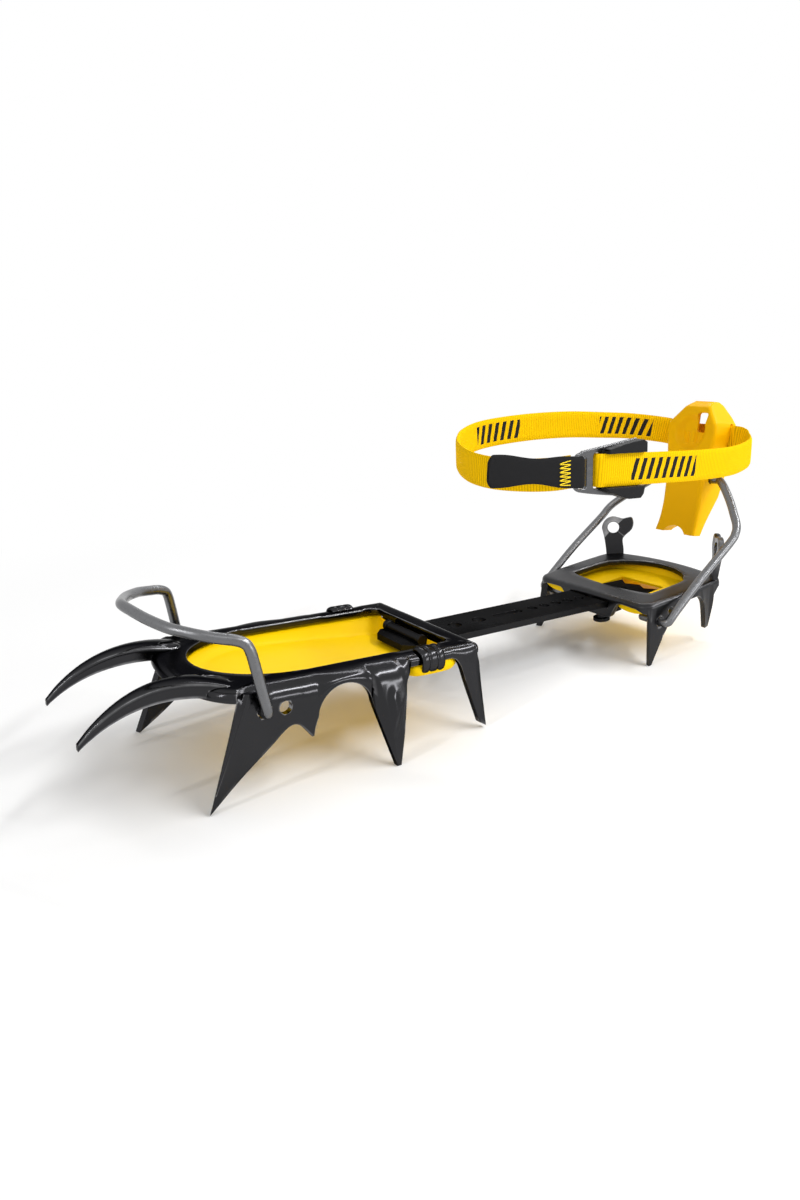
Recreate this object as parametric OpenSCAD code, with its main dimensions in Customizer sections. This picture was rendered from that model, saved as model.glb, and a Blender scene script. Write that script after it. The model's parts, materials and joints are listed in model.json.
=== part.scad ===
// Automatic crampon: two pressed steel frames on a link bar, a toe bail, a heel bail
// with its lever, two anti-snow plates and an ankle strap.
// +X runs from the toe to the heel and +Z is up. The points stand on z = 0.
// Lengths along the crampon are counted from the toe bail hole.

/* [Steel] */
// Thickness of the pressed sheet
sheet_t = 3; // [2.6:0.1:3.4]
// Height of the turned-down lip along a frame's edge
lip_h = 4.6; // [4.2:0.2:6]
// Radius of the frames' large bends
bend_r = 8; // [6:0.5:9]
// Diameter of the bail wire
wire_d = 4.2; // [3.6:0.1:4.6]
// Play of a bail end in its hole, all round
bail_play = 0.5; // [0.3:0.1:0.7]
// Gap between pieces that move past each other
run_gap = 0.4; // [0.3:0.05:0.5]

/* [Front frame] */
// Height of the front frame's top at the toe bail hole
front_top = 42.3; // [40:0.5:45]
// Tilt of the front frame, toe up, in degrees
front_tilt = 3.4; // [2:0.2:5]
// From the toe bail hole forward to the frame's nose
front_nose = 24; // [22:0.5:27]
// From the toe bail hole back to the frame's rear edge
front_rear = 102; // [98:1:106]
// Half width over the side flanges
front_half_w = 43; // [41:0.5:45]
// Half width of the frame's opening
front_open_half_w = 31; // [28:0.5:32]
// Width of the rear crossbar
crossbar_w = 15.5; // [14:0.5:18]
// Depth of the toe bail hole under the frame's top
toe_hole_drop = 9; // [8.6:0.2:10.5]
// From the toe bail hole to the spare hole behind it
spare_hole_step = 8.7; // [8.2:0.1:9.5]

/* [Points] */
// Reach of the front points before the toe bail hole
front_point_reach = 63.4; // [58:0.5:70]
// Half gauge of the front points
front_point_half = 25; // [23:0.5:27]
// Height of the front points' tips
front_point_z = 31.2; // [26:0.5:34]
// Reach of the second points before the toe bail hole
second_point_reach = 25.8; // [22:0.2:30]
// Half gauge of the second points
second_point_half = 43; // [41:0.5:46]
// Place of the third points behind the toe bail hole
third_point_x = 49.8; // [48:0.2:52]
// Half gauge of the third points
third_point_half = 54; // [50:0.5:57]
// Place of the fourth points behind the toe bail hole
fourth_point_x = 97; // [95:0.2:99]
// Half gauge of the fourth points
fourth_point_half = 47; // [44:0.5:50]
// Radius of the arch before each third point
arch_r = 12; // [10:0.5:12.5]

/* [Link bar] */
// Width of the link bar
bar_w = 27.2; // [24:0.2:29]
// Thickness of the link bar
bar_t = 3; // [2.6:0.1:3.4]
// Depth of the bar under the front frame's top
bar_drop = 7.2; // [7:0.1:7.6]
// Width of the bar's T-shaped head
bar_head_w = 40; // [36:0.5:44]
// Pitch of the length-adjusting holes
hole_pitch = 8; // [7:0.5:9]
// Diameter of the length-adjusting holes
hole_d = 5.4; // [5:0.1:5.8]

/* [Heel frame] */
// Place of the heel frame's front edge
heel_x = 204.3; // [200:0.5:212]
// Height of the heel frame's top at its front edge
heel_top = 30.7; // [29.5:0.1:33]
// Pitch of the heel frame, rear up, in degrees
heel_pitch = 4.5; // [3:0.2:5.5]
// Length of the heel frame
heel_len = 64; // [62:0.5:67]
// Half width of the heel frame
heel_half_w = 40; // [38.5:0.2:40.4]
// Half width of the heel frame's opening
heel_open_half_w = 28; // [25:0.5:29]
// Half gauge of the front heel points
heel_point_half = 42; // [40:0.5:43]
// Half gauge of the rear heel points
rear_point_half = 34; // [32:0.5:36]
// Height of the rear heel points' tips
rear_point_z = 7; // [5:0.2:9]
// Place of the heel bail hole behind the heel frame's front edge
heel_hole_x = 8.6; // [8:0.2:10]
// Depth of the heel bail hole under the heel frame's top
heel_hole_drop = 10; // [9:0.2:11]
// Height of the rear posts over the heel frame
post_h = 21.2; // [19.2:0.2:24]
// Half width over the rear posts
post_half_w = 35.8; // [35:0.1:36.4]
// Diameter of the hole in each rear post
post_hole_d = 6.6; // [6:0.2:7.4]

/* [Bails and lever] */
// Height of the toe bail's corners over its hole
toe_bail_h = 27.2; // [26:0.2:30]
// Reach of the toe bail's bow before its hole
toe_bow_reach = 35.7; // [32:0.2:38]
// Height of the toe bail's bow over its hole
toe_bow_h = 40; // [37:0.5:43]
// From the front frame's side out to the middle of the toe bail's legs
toe_bail_out = 3.4; // [3:0.1:4]
// From the heel frame's side out to the middle of the heel bail's arms
bail_out = 5.4; // [5:0.1:6]
// Height of the lever's pivot
pivot_z = 81; // [79:0.5:84]
// Place of the lever's pivot behind the heel bail hole
pivot_x = 68.5; // [66:0.5:70]
// Lean of the lever, backwards, in degrees
lever_lean = 8; // [5:0.5:10]
// Width of the lever
lever_w = 34; // [32:0.5:36]
// Height of the lever over its pivot
lever_up = 41; // [39:0.5:44]
// Depth of the lever's jaw under its pivot
lever_down = 31; // [29:0.5:33]
// Wall of the lever's shell
lever_wall = 3.2; // [2.6:0.1:3.8]

/* [Ankle strap] */
// Width of the webbing
web_w = 15; // [14:0.2:16]
// Thickness of the webbing
web_t = 1.6; // [1.2:0.1:1.8]
// Height of the strap's slots over the lever's pivot
strap_up = 22; // [20:0.5:24]

/* [Hidden] */
$fn = 48;
bend_steps = 3;
lip_r = sheet_t + 1.2;
wire_sides = 12;
sheet_gap = 0.2;
pin_local_x = 9;
lever_front = -7;
lever_back = 12;

toe_hole = front_pt([0, 0, -toe_hole_drop]);
heel_hole = heel_pt([heel_hole_x, 0, -heel_hole_drop]);
pivot = [heel_hole.x + pivot_x, 0, pivot_z];
window_x = front_rear - crossbar_w;
bar_pin = front_pt([window_x + sheet_t/2, 0, -bar_drop]);
bar_entry = heel_pt([sheet_t/2, 0, -sheet_t - bar_t/2 - run_gap]);
bar_slope = atan((bar_pin.z - bar_entry.z)/(bar_entry.x - bar_pin.x));
bar_len = norm(bar_entry - bar_pin) + 38;
pin_x = norm(bar_entry - bar_pin) + (pin_local_x - sheet_t/2)/cos(heel_pitch + bar_slope);
bail_hole_d = wire_d + 2*bail_play;
toe_bail_half_w = front_half_w + toe_bail_out;
bail_half_w = heel_half_w + bail_out;
lever_end = pivot.x + lever_back*cos(lever_lean) + (lever_up - 8)*sin(lever_lean);
middle_x = (lever_end - front_point_reach)/2;

// Placing: a point or a shape from a section's own frame to the whole crampon

function front_pt(p) = let (c = cos(front_tilt), s = sin(front_tilt))
    [p.x*c + p.z*s, p.y, front_top - p.x*s + p.z*c];

function front_local(p) = let (c = cos(front_tilt), s = sin(front_tilt), h = p.z - front_top)
    [p.x*c - h*s, p.y, p.x*s + h*c];

function heel_pt(p) = let (c = cos(heel_pitch), s = sin(heel_pitch))
    [heel_x + p.x*c - p.z*s, p.y, heel_top + p.x*s + p.z*c];

function heel_local(p) = let (c = cos(heel_pitch), s = sin(heel_pitch), d = p.x - heel_x, h = p.z - heel_top)
    [d*c + h*s, p.y, h*c - d*s];

module whole() {
    translate([-middle_x, 0, 0]) children();
}

module front_place() {
    whole() translate([0, 0, front_top]) rotate([0, front_tilt, 0]) children();
}

module heel_place() {
    whole() translate([heel_x, 0, heel_top]) rotate([0, -heel_pitch, 0]) children();
}

module bar_place() {
    whole() translate(bar_pin) rotate([0, bar_slope, 0]) children();
}

module lever_place() {
    whole() translate(pivot) rotate([0, lever_lean, 0]) children();
}

module both_sides() {
    children();
    mirror([0, 1, 0]) children();
}

// Curves and lofts

function unit(v) = v/norm(v);
function blend(a, b, t) = a + (b - a)*t;
function reversed(list) = [for (i = [len(list) - 1:-1:0]) list[i]];
function flip(p) = [p.x, -p.y, p.z];

function bend_point(a, b, c, t) = (1 - t)*(1 - t)*a + 2*t*(1 - t)*b + t*t*c;

function bow_point(p, t) = let (s = 1 - t)
    s*s*s*p[0] + 3*s*s*t*p[1] + 3*s*t*t*p[2] + t*t*t*p[3];

// A smooth curve through the points, as a Catmull-Rom spline
function spline(p, steps) = let (n = len(p)) concat(
    [for (i = [0:n - 2], k = [0:steps - 1]) let (
        t = k/steps, a = p[max(i - 1, 0)], b = p[i], c = p[i + 1], d = p[min(i + 2, n - 1)])
        0.5*(2*b + (c - a)*t + (2*a - 5*b + 4*c - d)*t*t + (3*b - a - 3*c + d)*t*t*t)],
    [p[n - 1]]);

function heading(p, i) = unit(p[min(i + 1, len(p) - 1)] - p[max(i - 1, 0)]);

module loft(rings, closed = false) {
    n = len(rings);
    m = len(rings[0]);
    sides = [for (i = [0:closed ? n - 1 : n - 2], j = [0:m - 1])
        let (h = (i + 1) % n, k = (j + 1) % m, a = i*m, b = h*m)
        each norm(rings[i][j] - rings[h][k]) < norm(rings[h][j] - rings[i][k])
            ? [[a + j, b + k, a + k], [a + j, b + j, b + k]] : [[a + j, b + j, a + k], [b + j, b + k, a + k]]];
    caps = closed ? [] : [[for (j = [0:m - 1]) j], [for (j = [m - 1:-1:0]) (n - 1)*m + j]];
    polyhedron([for (r = rings) each r], concat(sides, caps), convexity = 10);
}

// A round wire along a path; side is a direction that the path never takes
module wire(path, d, side) {
    loft([for (i = [0:len(path) - 1]) let (
        t = heading(path, i), u = unit(side - t*(side*t)), v = cross(t, u))
        [for (a = [0:360/wire_sides:359]) path[i] + d/2*(u*cos(a) + v*sin(a))]]);
}

// Flat webbing on edge along a path, with its width scaled by the list
module webbing(path, wide, thick) {
    loft([for (i = [0:len(path) - 1]) let (
        t = heading(path, i), n = unit(cross(t, [0, 0, 1])), up = cross(n, t), w = wide[i]/2, h = thick/2)
        [path[i] - n*h - up*w, path[i] - n*h + up*w, path[i] + n*h + up*w, path[i] + n*h - up*w]]);
}

module rounded_rect(w, h, r) {
    square([w - 2*r, h], center = true);
    square([w, h - 2*r], center = true);
    for (x = [-1, 1], y = [-1, 1]) translate([x*(w/2 - r), y*(h/2 - r)]) circle(r);
}

module slot(length, d) {
    square([length - d, d], center = true);
    for (x = [-1, 1]) translate([x*(length - d)/2, 0]) circle(d = d);
}

// Pressed frames: each station is [inner edge, outer corner, way in, lower edge, bend radius]

function pressed_section(st) = let (
    drop = st[3] - st[1], depth = norm(drop),
    start = st[1] + st[2]*max(st[4], sheet_t + 1),
    stop = st[1] + drop/depth*min(st[4], 0.7*depth),
    turns = [for (i = [0:bend_steps]) i/bend_steps],
    skin = [for (t = turns) bend_point(start, st[1], stop, t)],
    back = [for (t = turns) bend_point(start, st[1], stop, t)
        + sheet_t*(sin(90*t)*st[2] - [0, 0, cos(90*t)])])
    concat([st[0]], skin, [st[3]], [st[3] + sheet_t*st[2]], reversed(back), [st[0] - [0, 0, sheet_t]]);

function flip_station(st) = [flip(st[0]), flip(st[1]), flip(st[2]), flip(st[3]), st[4]];

function whole_ring(half) =
    concat(half, [for (i = [len(half) - 2:-1:1]) flip_station(half[i])]);

module pressed_frame(half) {
    loft([for (st = reversed(whole_ring(half))) pressed_section(st)], closed = true);
}

function with_lip(inner, corner, inward) = [inner, corner, inward, corner - [0, 0, lip_h], lip_r];

// Front frame: a leaf-shaped opening, a nose and two rails with their points

open_mid = 24;
open_nose = 12;
nose_mid = -6;
nose_half = front_half_w - 1;
nose_turn = 78;
leg_start = -6.5;
rail_start = 66;
rail_half = front_half_w - 2.5;
rail_roll = 0.4;
roll_end = fourth_point_x - 18;
rail_r = 6;
corner_r = 7;
open_corner_r = 4.5;
open_rear = window_x;
rear_lip_h = 3.8;

function open_edge(a) = [open_mid - (open_mid + open_nose)*cos(a), front_open_half_w*sin(a), 0];

function nose_corner(a) = [nose_mid - (front_nose + nose_mid)*cos(a), nose_half*sin(a), 0];

function nose_station(a) = with_lip(open_edge(a), nose_corner(a),
    unit([cos(a)/(front_nose + nose_mid), -sin(a)/nose_half, 0]));

function rail_corner(x) = [x, lookup(x, [[leg_start, nose_half - 1], [nose_mid + 4, nose_half],
    [4, front_half_w], [third_point_x + 8, front_half_w], [rail_start, rail_half]]), 0];

function rail_inner(x) = x < open_mid
    ? open_edge(nose_turn + 2 + (88 - nose_turn)*(x - leg_start)/(open_mid - leg_start))
    : [lookup(x, [[open_mid, open_mid], [roll_end, roll_end], [front_rear - corner_r, open_rear - open_corner_r]]),
        front_open_half_w, 0];

function rail_inward(x) = unit([lookup(x, [[leg_start, 1], [5, 0]]), -1, 0]);

function rail_station(x, low) = [rail_inner(x), rail_corner(x), rail_inward(x), low, bend_r];

function rolled_rail(x) = [rail_inner(x) - [0, 0, rail_roll], rail_corner(x), rail_inward(x),
    rail_corner(x) - [0, 0, lip_h], rail_r];

function tight_station(x, low) = [rail_inner(x), rail_corner(x), [0, -1, 0], low, lip_r];

second_tip = front_local([-second_point_reach, second_point_half, 0]) + [0, 0, sheet_t*sin(front_tilt)];
second_root = [10, front_half_w + 0.2, -17.3];
barb_tip = [19.3, front_half_w + 1.2, -22.7];
arch_mid = [third_point_x - 15.8, front_half_w + 0.8, -16.2];
third_tip = front_local([third_point_x, third_point_half, 0]);
fourth_tip = front_local([fourth_point_x, fourth_point_half, 1]);
point_flat = 0.9;

function arch_station(a) = let (low = arch_mid + arch_r*[cos(a), 0, sin(a)]) rail_station(low.x, low);

function rear_corner_station(a) = with_lip(
    [open_rear - open_corner_r*(1 - sin(a)), front_open_half_w - open_corner_r*(1 - cos(a)), 0],
    [front_rear - corner_r*(1 - sin(a)), rail_half - corner_r*(1 - cos(a)), 0], [-sin(a), -cos(a), 0]);

front_half = concat(
    [for (a = [0:nose_turn/6:nose_turn]) nose_station(a)],
    [rail_station(leg_start + 0.5, second_tip)],
    [for (t = [0.06, 0.35, 0.65, 1]) rail_station(blend(leg_start + 1.5, 11, t), blend(second_tip, second_root, t))],
    [rail_station(14, second_root + [3.2, 0, 0.8]), rail_station(18.5, barb_tip - [0.4, 0, 0]),
        rail_station(20, barb_tip + [0.4, 0, 0]), rail_station(21.4, arch_mid - [arch_r, 0, 0])],
    [for (a = [156:-22:24]) arch_station(a)],
    [rail_station(arch_mid.x + arch_r, arch_mid + [arch_r, 2.4, -0.8]),
        rail_station(third_point_x - 1, third_tip - [point_flat, 0, 0]),
        rail_station(third_point_x + 1, third_tip + [point_flat, 0, 0]),
        rail_station(third_point_x + 9.5, [third_point_x + 11, front_half_w + 3.5, -12.5]),
        rail_station(third_point_x + 13.5, [third_point_x + 14.2, front_half_w + 0.4, -6.2])],
    [for (x = [rail_start, blend(rail_start, roll_end, 0.5), roll_end]) rolled_rail(x)],
    [tight_station(roll_end + 4.5, rail_corner(roll_end + 4.5) - [0, 0, lip_h]),
        tight_station(fourth_point_x - 12, [fourth_point_x - 10, rail_half + 1, -8]),
        tight_station(fourth_point_x - 7.5, fourth_tip + [-2*point_flat, 0, 2]),
        tight_station(fourth_point_x - 5, fourth_tip + [2*point_flat, 0, 0]),
        tight_station(fourth_point_x - 3, [fourth_point_x - 1, rail_half + 0.6, -8.5])],
    [for (a = [30:30:90]) rear_corner_station(a)],
    [for (y = [21, 17, 0]) [[open_rear, y, 0], [front_rear, y, 0], [-1, 0, 0],
        [front_rear, y, y > 18 ? -lip_h : -rear_lip_h], lip_r]]);

// Front points: a ribbed fang, wide at the nose and narrow at the tip
fang_tip = front_local([-front_point_reach, front_point_half, front_point_z]);
fang_path = [[-7, front_point_half + 3, -2.6], [-29, front_point_half - 3, 0.8],
    [-48, front_point_half, -2.5], fang_tip];
fang_profile = [[-1, -0.5], [-1, -0.1], [-0.5, 0.5], [0.5, 0.5], [1, -0.1], [1, -0.5]];
fang_root_w = 15;
fang_tip_w = 3;
fang_root_h = 6.4;
fang_tip_h = 3.4;

module front_point() {
    loft([for (i = [0:8]) let (t = i/8, mid = bow_point(fang_path, t),
        w = blend(fang_root_w, fang_tip_w, t)/2, h = blend(fang_root_h, fang_tip_h, t*t) + 2.4*sin(180*t))
        [for (q = fang_profile) mid + [0, q.x*w, q.y*h]]]);
}

// The wall under the crossbar, with the window that the link bar hangs in
window_wall_h = bar_drop + bar_t/2 + 5;

module window_wall() {
    translate([window_x + 0.3, 0, -window_wall_h/2 - 0.6]) rotate([90, 0, 90]) linear_extrude(sheet_t)
        rounded_rect(bar_w + 20, window_wall_h, 4);
}

module bar_window(extra) {
    cube([6*sheet_t, bar_w + 2*run_gap, bar_t + 2*extra], center = true);
}

module bail_holes(xs, drop, half_w) {
    for (x = xs) translate([x, 0, -drop]) rotate([90, 0, 0]) cylinder(d = bail_hole_d, h = 2*half_w, center = true);
}

module front_frame() {
    color("#17171a") front_place() difference() {
        union() {
            pressed_frame(front_half);
            both_sides() front_point();
            window_wall();
        }
        bail_holes([0, spare_hole_step], toe_hole_drop, 2*front_half_w);
        translate([window_x, 0, -bar_drop]) bar_window(run_gap + 0.3);
    }
}

// Anti-snow plates: a dished tray whose rim lies under the frame's top
tray_t = 1.8;
tray_wall = 7;

module tray(rim, floor_ring) {
    low = [0, 0, tray_t];
    loft([floor_ring, rim, [for (p = rim) p - low], [for (p = floor_ring) p - low]]);
}

front_rim_z = -sheet_t - sheet_gap - rail_roll;
front_floor_z = -bar_drop - bar_t/2 - 2.4;
front_plate_rear = window_x - 1.4;

function leaf(grow, z) = concat(
    [for (a = [-90:15:90]) [open_mid - (open_mid + open_nose + grow)*cos(a), (front_open_half_w + grow)*sin(a), z]],
    [[front_plate_rear - 13 + grow, front_open_half_w + grow, z], [front_plate_rear + grow/4, 22 + grow, front_floor_z],
        [front_plate_rear + grow/4, -22 - grow, front_floor_z], [front_plate_rear - 13 + grow, -front_open_half_w - grow, z]]);

wing_x = rail_start + 8;

module front_antisnow_plate() {
    color("#f5c400") front_place() {
        tray(leaf(3, front_rim_z), leaf(-tray_wall, front_floor_z));
        both_sides() translate([wing_x, front_open_half_w - 2, -lip_h - sheet_gap - tray_t])
            linear_extrude(tray_t) polygon([[-9, -5], [9, -5], [9, 4], [6, rail_half - front_open_half_w + 1.5],
                [-6, rail_half - front_open_half_w + 1.5], [-9, 4]]);
    }
}

// The clip that holds the plate's wing to the rail
clip_w = 6.5;
clip_t = 1.5;

module plate_clip() {
    high = lip_h + 2*sheet_gap + tray_t;
    deep = rail_half - front_open_half_w + 2*sheet_gap;
    front_place() translate([wing_x - clip_w/2, front_open_half_w - sheet_gap, sheet_gap])
        rotate([90, 0, 90]) linear_extrude(clip_w) difference() {
            translate([-clip_t, -high - clip_t]) square([deep + 2*clip_t, high + 2*clip_t]);
            translate([0, -high]) square([deep, high]);
            translate([-2*clip_t, -high - 2*clip_t]) square([2*clip_t + 2.4, high + clip_t - sheet_t]);
        }
}

module plate_clip_left() {
    color("#202022") plate_clip();
}

module plate_clip_right() {
    color("#202022") mirror([0, 1, 0]) plate_clip();
}

// Toe bail: a sprung wire, its ends turned in through the toe holes
pin_in = 6;

module bail_pin(at, inner, outer) {
    translate([at.x, inner, at.z]) rotate([-90, 0, 0]) cylinder(d = wire_d + 0.3, h = outer + 0.4 - inner);
}

toe_leg = [for (p = [[0, toe_bail_half_w - 1.2, 0], [-0.2, toe_bail_half_w - 0.1, 1.6],
    [-0.8, toe_bail_half_w - 0.4, 6], [-2.6, toe_bail_half_w - 3, 19], [-3.6, toe_bail_half_w - 5.8, toe_bail_h - 2],
    [-5.6, toe_bail_half_w - 9, toe_bail_h + 1.2], [-11, 31, toe_bail_h + 3.6],
    [-22, 19, toe_bow_h - 5], [-32, 8, toe_bow_h - 1.2], [-toe_bow_reach, 0, toe_bow_h]])
    toe_hole + p];

module toe_bail() {
    path = spline(concat(toe_leg, [for (i = [len(toe_leg) - 2:-1:0]) flip(toe_leg[i])]), 4);
    color("#8d9196") whole() {
        wire(path, wire_d, [0.9, 0, -0.3]);
        both_sides() bail_pin(toe_hole, front_half_w - pin_in, toe_bail_half_w);
    }
}

// Link bar: a T-shaped head in the front window, holes for the length, a toothed end
bar_head_len = 11;
round_hole_d = 7;

module bar_outline() {
    head = -sheet_t/2 - run_gap;
    translate([-sheet_t, -bar_w/2]) square([bar_len - 9 + sheet_t, bar_w]);
    polygon([[head, -bar_head_w/2], [head, bar_head_w/2], [head - 4, bar_head_w/2],
        [head - bar_head_len, bar_w/2 - 2], [head - bar_head_len, -bar_w/2 + 2], [head - 4, -bar_head_w/2]]);
    polygon([[bar_len - 10, -bar_w/2], [bar_len, -bar_w/2], [bar_len - 5, -bar_w/4], [bar_len - 1, 0],
        [bar_len - 5, bar_w/4], [bar_len, bar_w/2], [bar_len - 10, bar_w/2]]);
}

module link_bar() {
    color("#1c1c1e") bar_place() translate([0, 0, -bar_t/2]) difference() {
        linear_extrude(bar_t) bar_outline();
        for (k = [-6:2]) translate([pin_x + k*hole_pitch, 0, -1]) cylinder(d = hole_d, h = bar_t + 2);
        translate([pin_x - 8*hole_pitch, 0, -1]) linear_extrude(bar_t + 2) slot(18, hole_d);
        for (k = [-10.25, -12.05]) translate([pin_x + k*hole_pitch, 0, -1]) cylinder(d = round_hole_d, h = bar_t + 2);
    }
}

// Heel frame: a ring with a front wall, four points and two rear posts
heel_open_front = 12.5;
heel_open_rear = heel_len - 8;
tongue_half = bar_w/2 + 4.5;
tongue_h = sheet_t + bar_t + 2*run_gap + 5.5;
heel_corner_r = 7;
heel_rear_r = 9;
heel_point_tip = heel_local([heel_x + 2, heel_point_half, 0]);
rear_point_tip = heel_local([heel_x + heel_len - 10, rear_point_half, rear_point_z]);

function heel_inner_x(y) = heel_open_front + 3.5*pow(y/heel_open_half_w, 2);

function front_wall(y, depth) = [[heel_inner_x(0.7*y), 0.7*y, 0], [0, y, 0], [1, 0, 0], [0, y, -depth], 5];

function heel_corner(a) = [heel_corner_r*(1 - cos(a)), heel_half_w - heel_corner_r*(1 - sin(a)), 0];

function heel_front_corner(a, low) = [[heel_open_front + 2 + 2.2*sin(a), heel_open_half_w - 4.4 + 4*sin(a), 0],
    heel_corner(a), [cos(a), -sin(a), 0], low, 5];

function heel_side_y(x) = heel_half_w + 0.9*sin(180*(x - heel_corner_r)/(heel_len - 2*heel_corner_r));

function heel_inner_y(x) = heel_open_half_w*sqrt(1 - pow(max(0, x - 34)/(heel_len - 14), 2));

function heel_side(x, low) = [[lookup(x, [[heel_corner_r, heel_open_front + 4.5], [heel_len - 10, heel_open_rear - 10]]),
    heel_inner_y(x), 0], [x, heel_side_y(x), 0], [0, -1, 0], low, 5];

function heel_side_lip(x) = heel_side(x, [x, heel_side_y(x), -lip_h]);

function heel_rear(y, low) = let (x = heel_len - 0.004*y*y)
    [[heel_open_rear - 0.006*y*y, 0.62*y, 0], [x, y, 0], unit([-1, -0.008*y, 0]), low, 5];

function heel_rear_corner(a) = let (y = heel_half_w - heel_rear_r, x = heel_len - 0.004*y*y - heel_rear_r)
    with_lip([heel_open_rear - 11 + 4*sin(a), heel_open_half_w - 4.5 - 3.5*(1 - cos(a)), 0],
        [x + heel_rear_r*sin(a), y + heel_rear_r*cos(a), 0], [-sin(a), -cos(a), 0]);

function heel_rear_lip(y) = heel_rear(y, [heel_len - 0.004*y*y, y, -lip_h]);

heel_half = concat(
    [for (y = [0, tongue_half - 6]) front_wall(y, tongue_h)],
    [front_wall(tongue_half - 3, tongue_h - 1.2), front_wall(tongue_half - 1, tongue_h - 4.5),
        front_wall(tongue_half + 1.2, lip_h + 0.6), front_wall(tongue_half + 8, lip_h),
        front_wall(heel_half_w - heel_corner_r, lip_h + 1)],
    [for (a = [25, 48]) heel_front_corner(a, heel_corner(a) - [0, 0, lip_h + 2*sin(a)])],
    [heel_front_corner(68, heel_point_tip - [point_flat, 0, 0])],
    [heel_side(heel_corner_r, heel_point_tip + [point_flat, 0, 0]),
        heel_side(heel_corner_r + 4, [9.5, heel_point_half - 0.8, -19.5]),
        heel_side(heel_corner_r + 5.5, [10.6, heel_point_half - 0.9, -18]),
        heel_side(heel_corner_r + 12, [19.5, heel_half_w + 0.8, -9]),
        heel_side_lip(25), heel_side_lip(32), heel_side_lip(heel_len - 27)],
    [heel_side(heel_len - 25.5, [heel_len - 23.5, heel_half_w, -8.5]),
        heel_side(heel_len - 20.5, rear_point_tip + [-1.5*point_flat, 0.4, 0]),
        heel_side(heel_len - 17.5, rear_point_tip + [1.5*point_flat, -0.4, 0]),
        heel_side(heel_len - 15.5, [heel_len - 13, heel_half_w - 0.6, -8.5])],
    [for (a = [30, 60]) heel_rear_corner(a)],
    [for (y = [heel_half_w - heel_rear_r, heel_half_w/2, heel_half_w/4, 0]) heel_rear_lip(y)]);

// A rear post: a lug with a hole and an ear that points back
post_x = heel_len - 6.8;
post_turn = 47;
post_lean = 9;
post_lug_r = 6.4;
post_lug_s = -0.6;
post_neck = 5;

module rear_post() {
    lug = [post_lug_s, post_h - post_lug_r];
    translate([post_x, post_half_w, 0]) rotate([0, 0, -post_turn]) rotate([90 - post_lean, 0, 0])
        linear_extrude(sheet_t) difference() {
            union() {
                polygon([[0.4 - post_neck, -sheet_t + 0.6], [post_neck - 0.4, -sheet_t + 0.6], [post_neck, 2],
                    [post_neck - 0.4, post_h - 13], [-post_neck - 1, post_h - 10], [-post_neck, 2]]);
                translate(lug) circle(post_lug_r);
                polygon([[0, post_h - 0.3], [5.5, post_h - 1.3], [10, post_h - 0.8], [10.8, post_h - 3.4],
                    [10.3, post_h - 6.8], [post_neck - 0.4, post_h - 13], [0, post_h - 14]]);
            }
            translate(lug) circle(d = post_hole_d);
        }
}

module heel_frame() {
    color("#2b2b2e") heel_place() difference() {
        union() {
            pressed_frame(heel_half);
            both_sides() rear_post();
        }
        bail_holes([heel_hole_x], heel_hole_drop, 2*heel_half_w);
        translate([sheet_t/2, 0, -sheet_t - bar_t/2 - run_gap]) rotate([0, heel_pitch + bar_slope, 0])
            bar_window(run_gap + 0.2);
    }
}

heel_rim_z = -sheet_t - sheet_gap;
heel_floor_z = -14.5;
heel_rim_half = heel_half_w - sheet_t - 1;

function heel_leaf(grow, z) = [for (p = [[8, -0.55], [8, 0.55], [10, 0.9], [22, 1], [40, 1], [48, 0.84], [53.5, 0.4],
    [53.5, -0.4], [48, -0.84], [40, -1], [22, -1], [10, -0.9]])
    [blend(30, p.x, 1 + grow/24), p.y*(heel_rim_half + grow), z]];

module heel_antisnow_plate() {
    color("#f5c400") heel_place() difference() {
        tray(heel_leaf(0, heel_rim_z), heel_leaf(-tray_wall, heel_floor_z));
        translate([-1, -tongue_half - 1, heel_floor_z - 3]) cube([29, 2*tongue_half + 2, 20]);
        translate([sheet_t/2, 0, -sheet_t - bar_t/2 - run_gap]) rotate([0, heel_pitch + bar_slope, 0])
            cube([3*heel_len, bar_w + 3*run_gap, bar_t + 5*run_gap], center = true);
    }
}

// The length lock: a plunger in a bracket that is riveted behind the front wall
bracket_t = 2;
bracket_w = 16;
bracket_drop = sheet_t + bar_t + 2*run_gap + 5;
pin_d = hole_d - 1;
rivet_d = 2.2;
rivet_z = 2.2 - bracket_drop;

module lock_bracket() {
    color("#8d9196") heel_place() translate([sheet_t, 0, -bracket_drop]) difference() {
        union() {
            translate([0, -bracket_w/2, -bracket_t]) cube([13, bracket_w, bracket_t]);
            translate([0, -bracket_w/2, -bracket_t]) cube([bracket_t, bracket_w, bracket_t + 4]);
        }
        translate([pin_local_x - sheet_t, 0, -2*bracket_t]) cylinder(d = pin_d + 2*run_gap, h = 3*bracket_t);
        for (y = [-1, 1]) translate([-1, y*bracket_w/3, rivet_z + bracket_drop]) rotate([0, 90, 0])
            cylinder(d = rivet_d, h = 2*bracket_t);
    }
}

module lock_rivets() {
    color("#b9bcc0") heel_place() for (y = [-1, 1])
        translate([sheet_t, y*bracket_w/3, rivet_z]) rotate([0, 90, 0]) {
            cylinder(d = rivet_d, h = bracket_t + 0.2);
            translate([0, 0, bracket_t + 0.01]) cylinder(d1 = 1.8*rivet_d, d2 = rivet_d, h = 1.2);
        }
}

module lock_pin() {
    color("#b9bcc0") heel_place() translate([pin_local_x, 0, 0]) {
        top = -sheet_t - bar_t - 2*run_gap - 1.2;
        translate([0, 0, -bracket_drop - bracket_t - 5]) cylinder(d = pin_d, h = top + bracket_drop + bracket_t + 5);
        translate([0, 0, -bracket_drop - bracket_t - 5 - run_gap]) cylinder(d = 2*pin_d, h = 1.6);
    }
}

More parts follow.
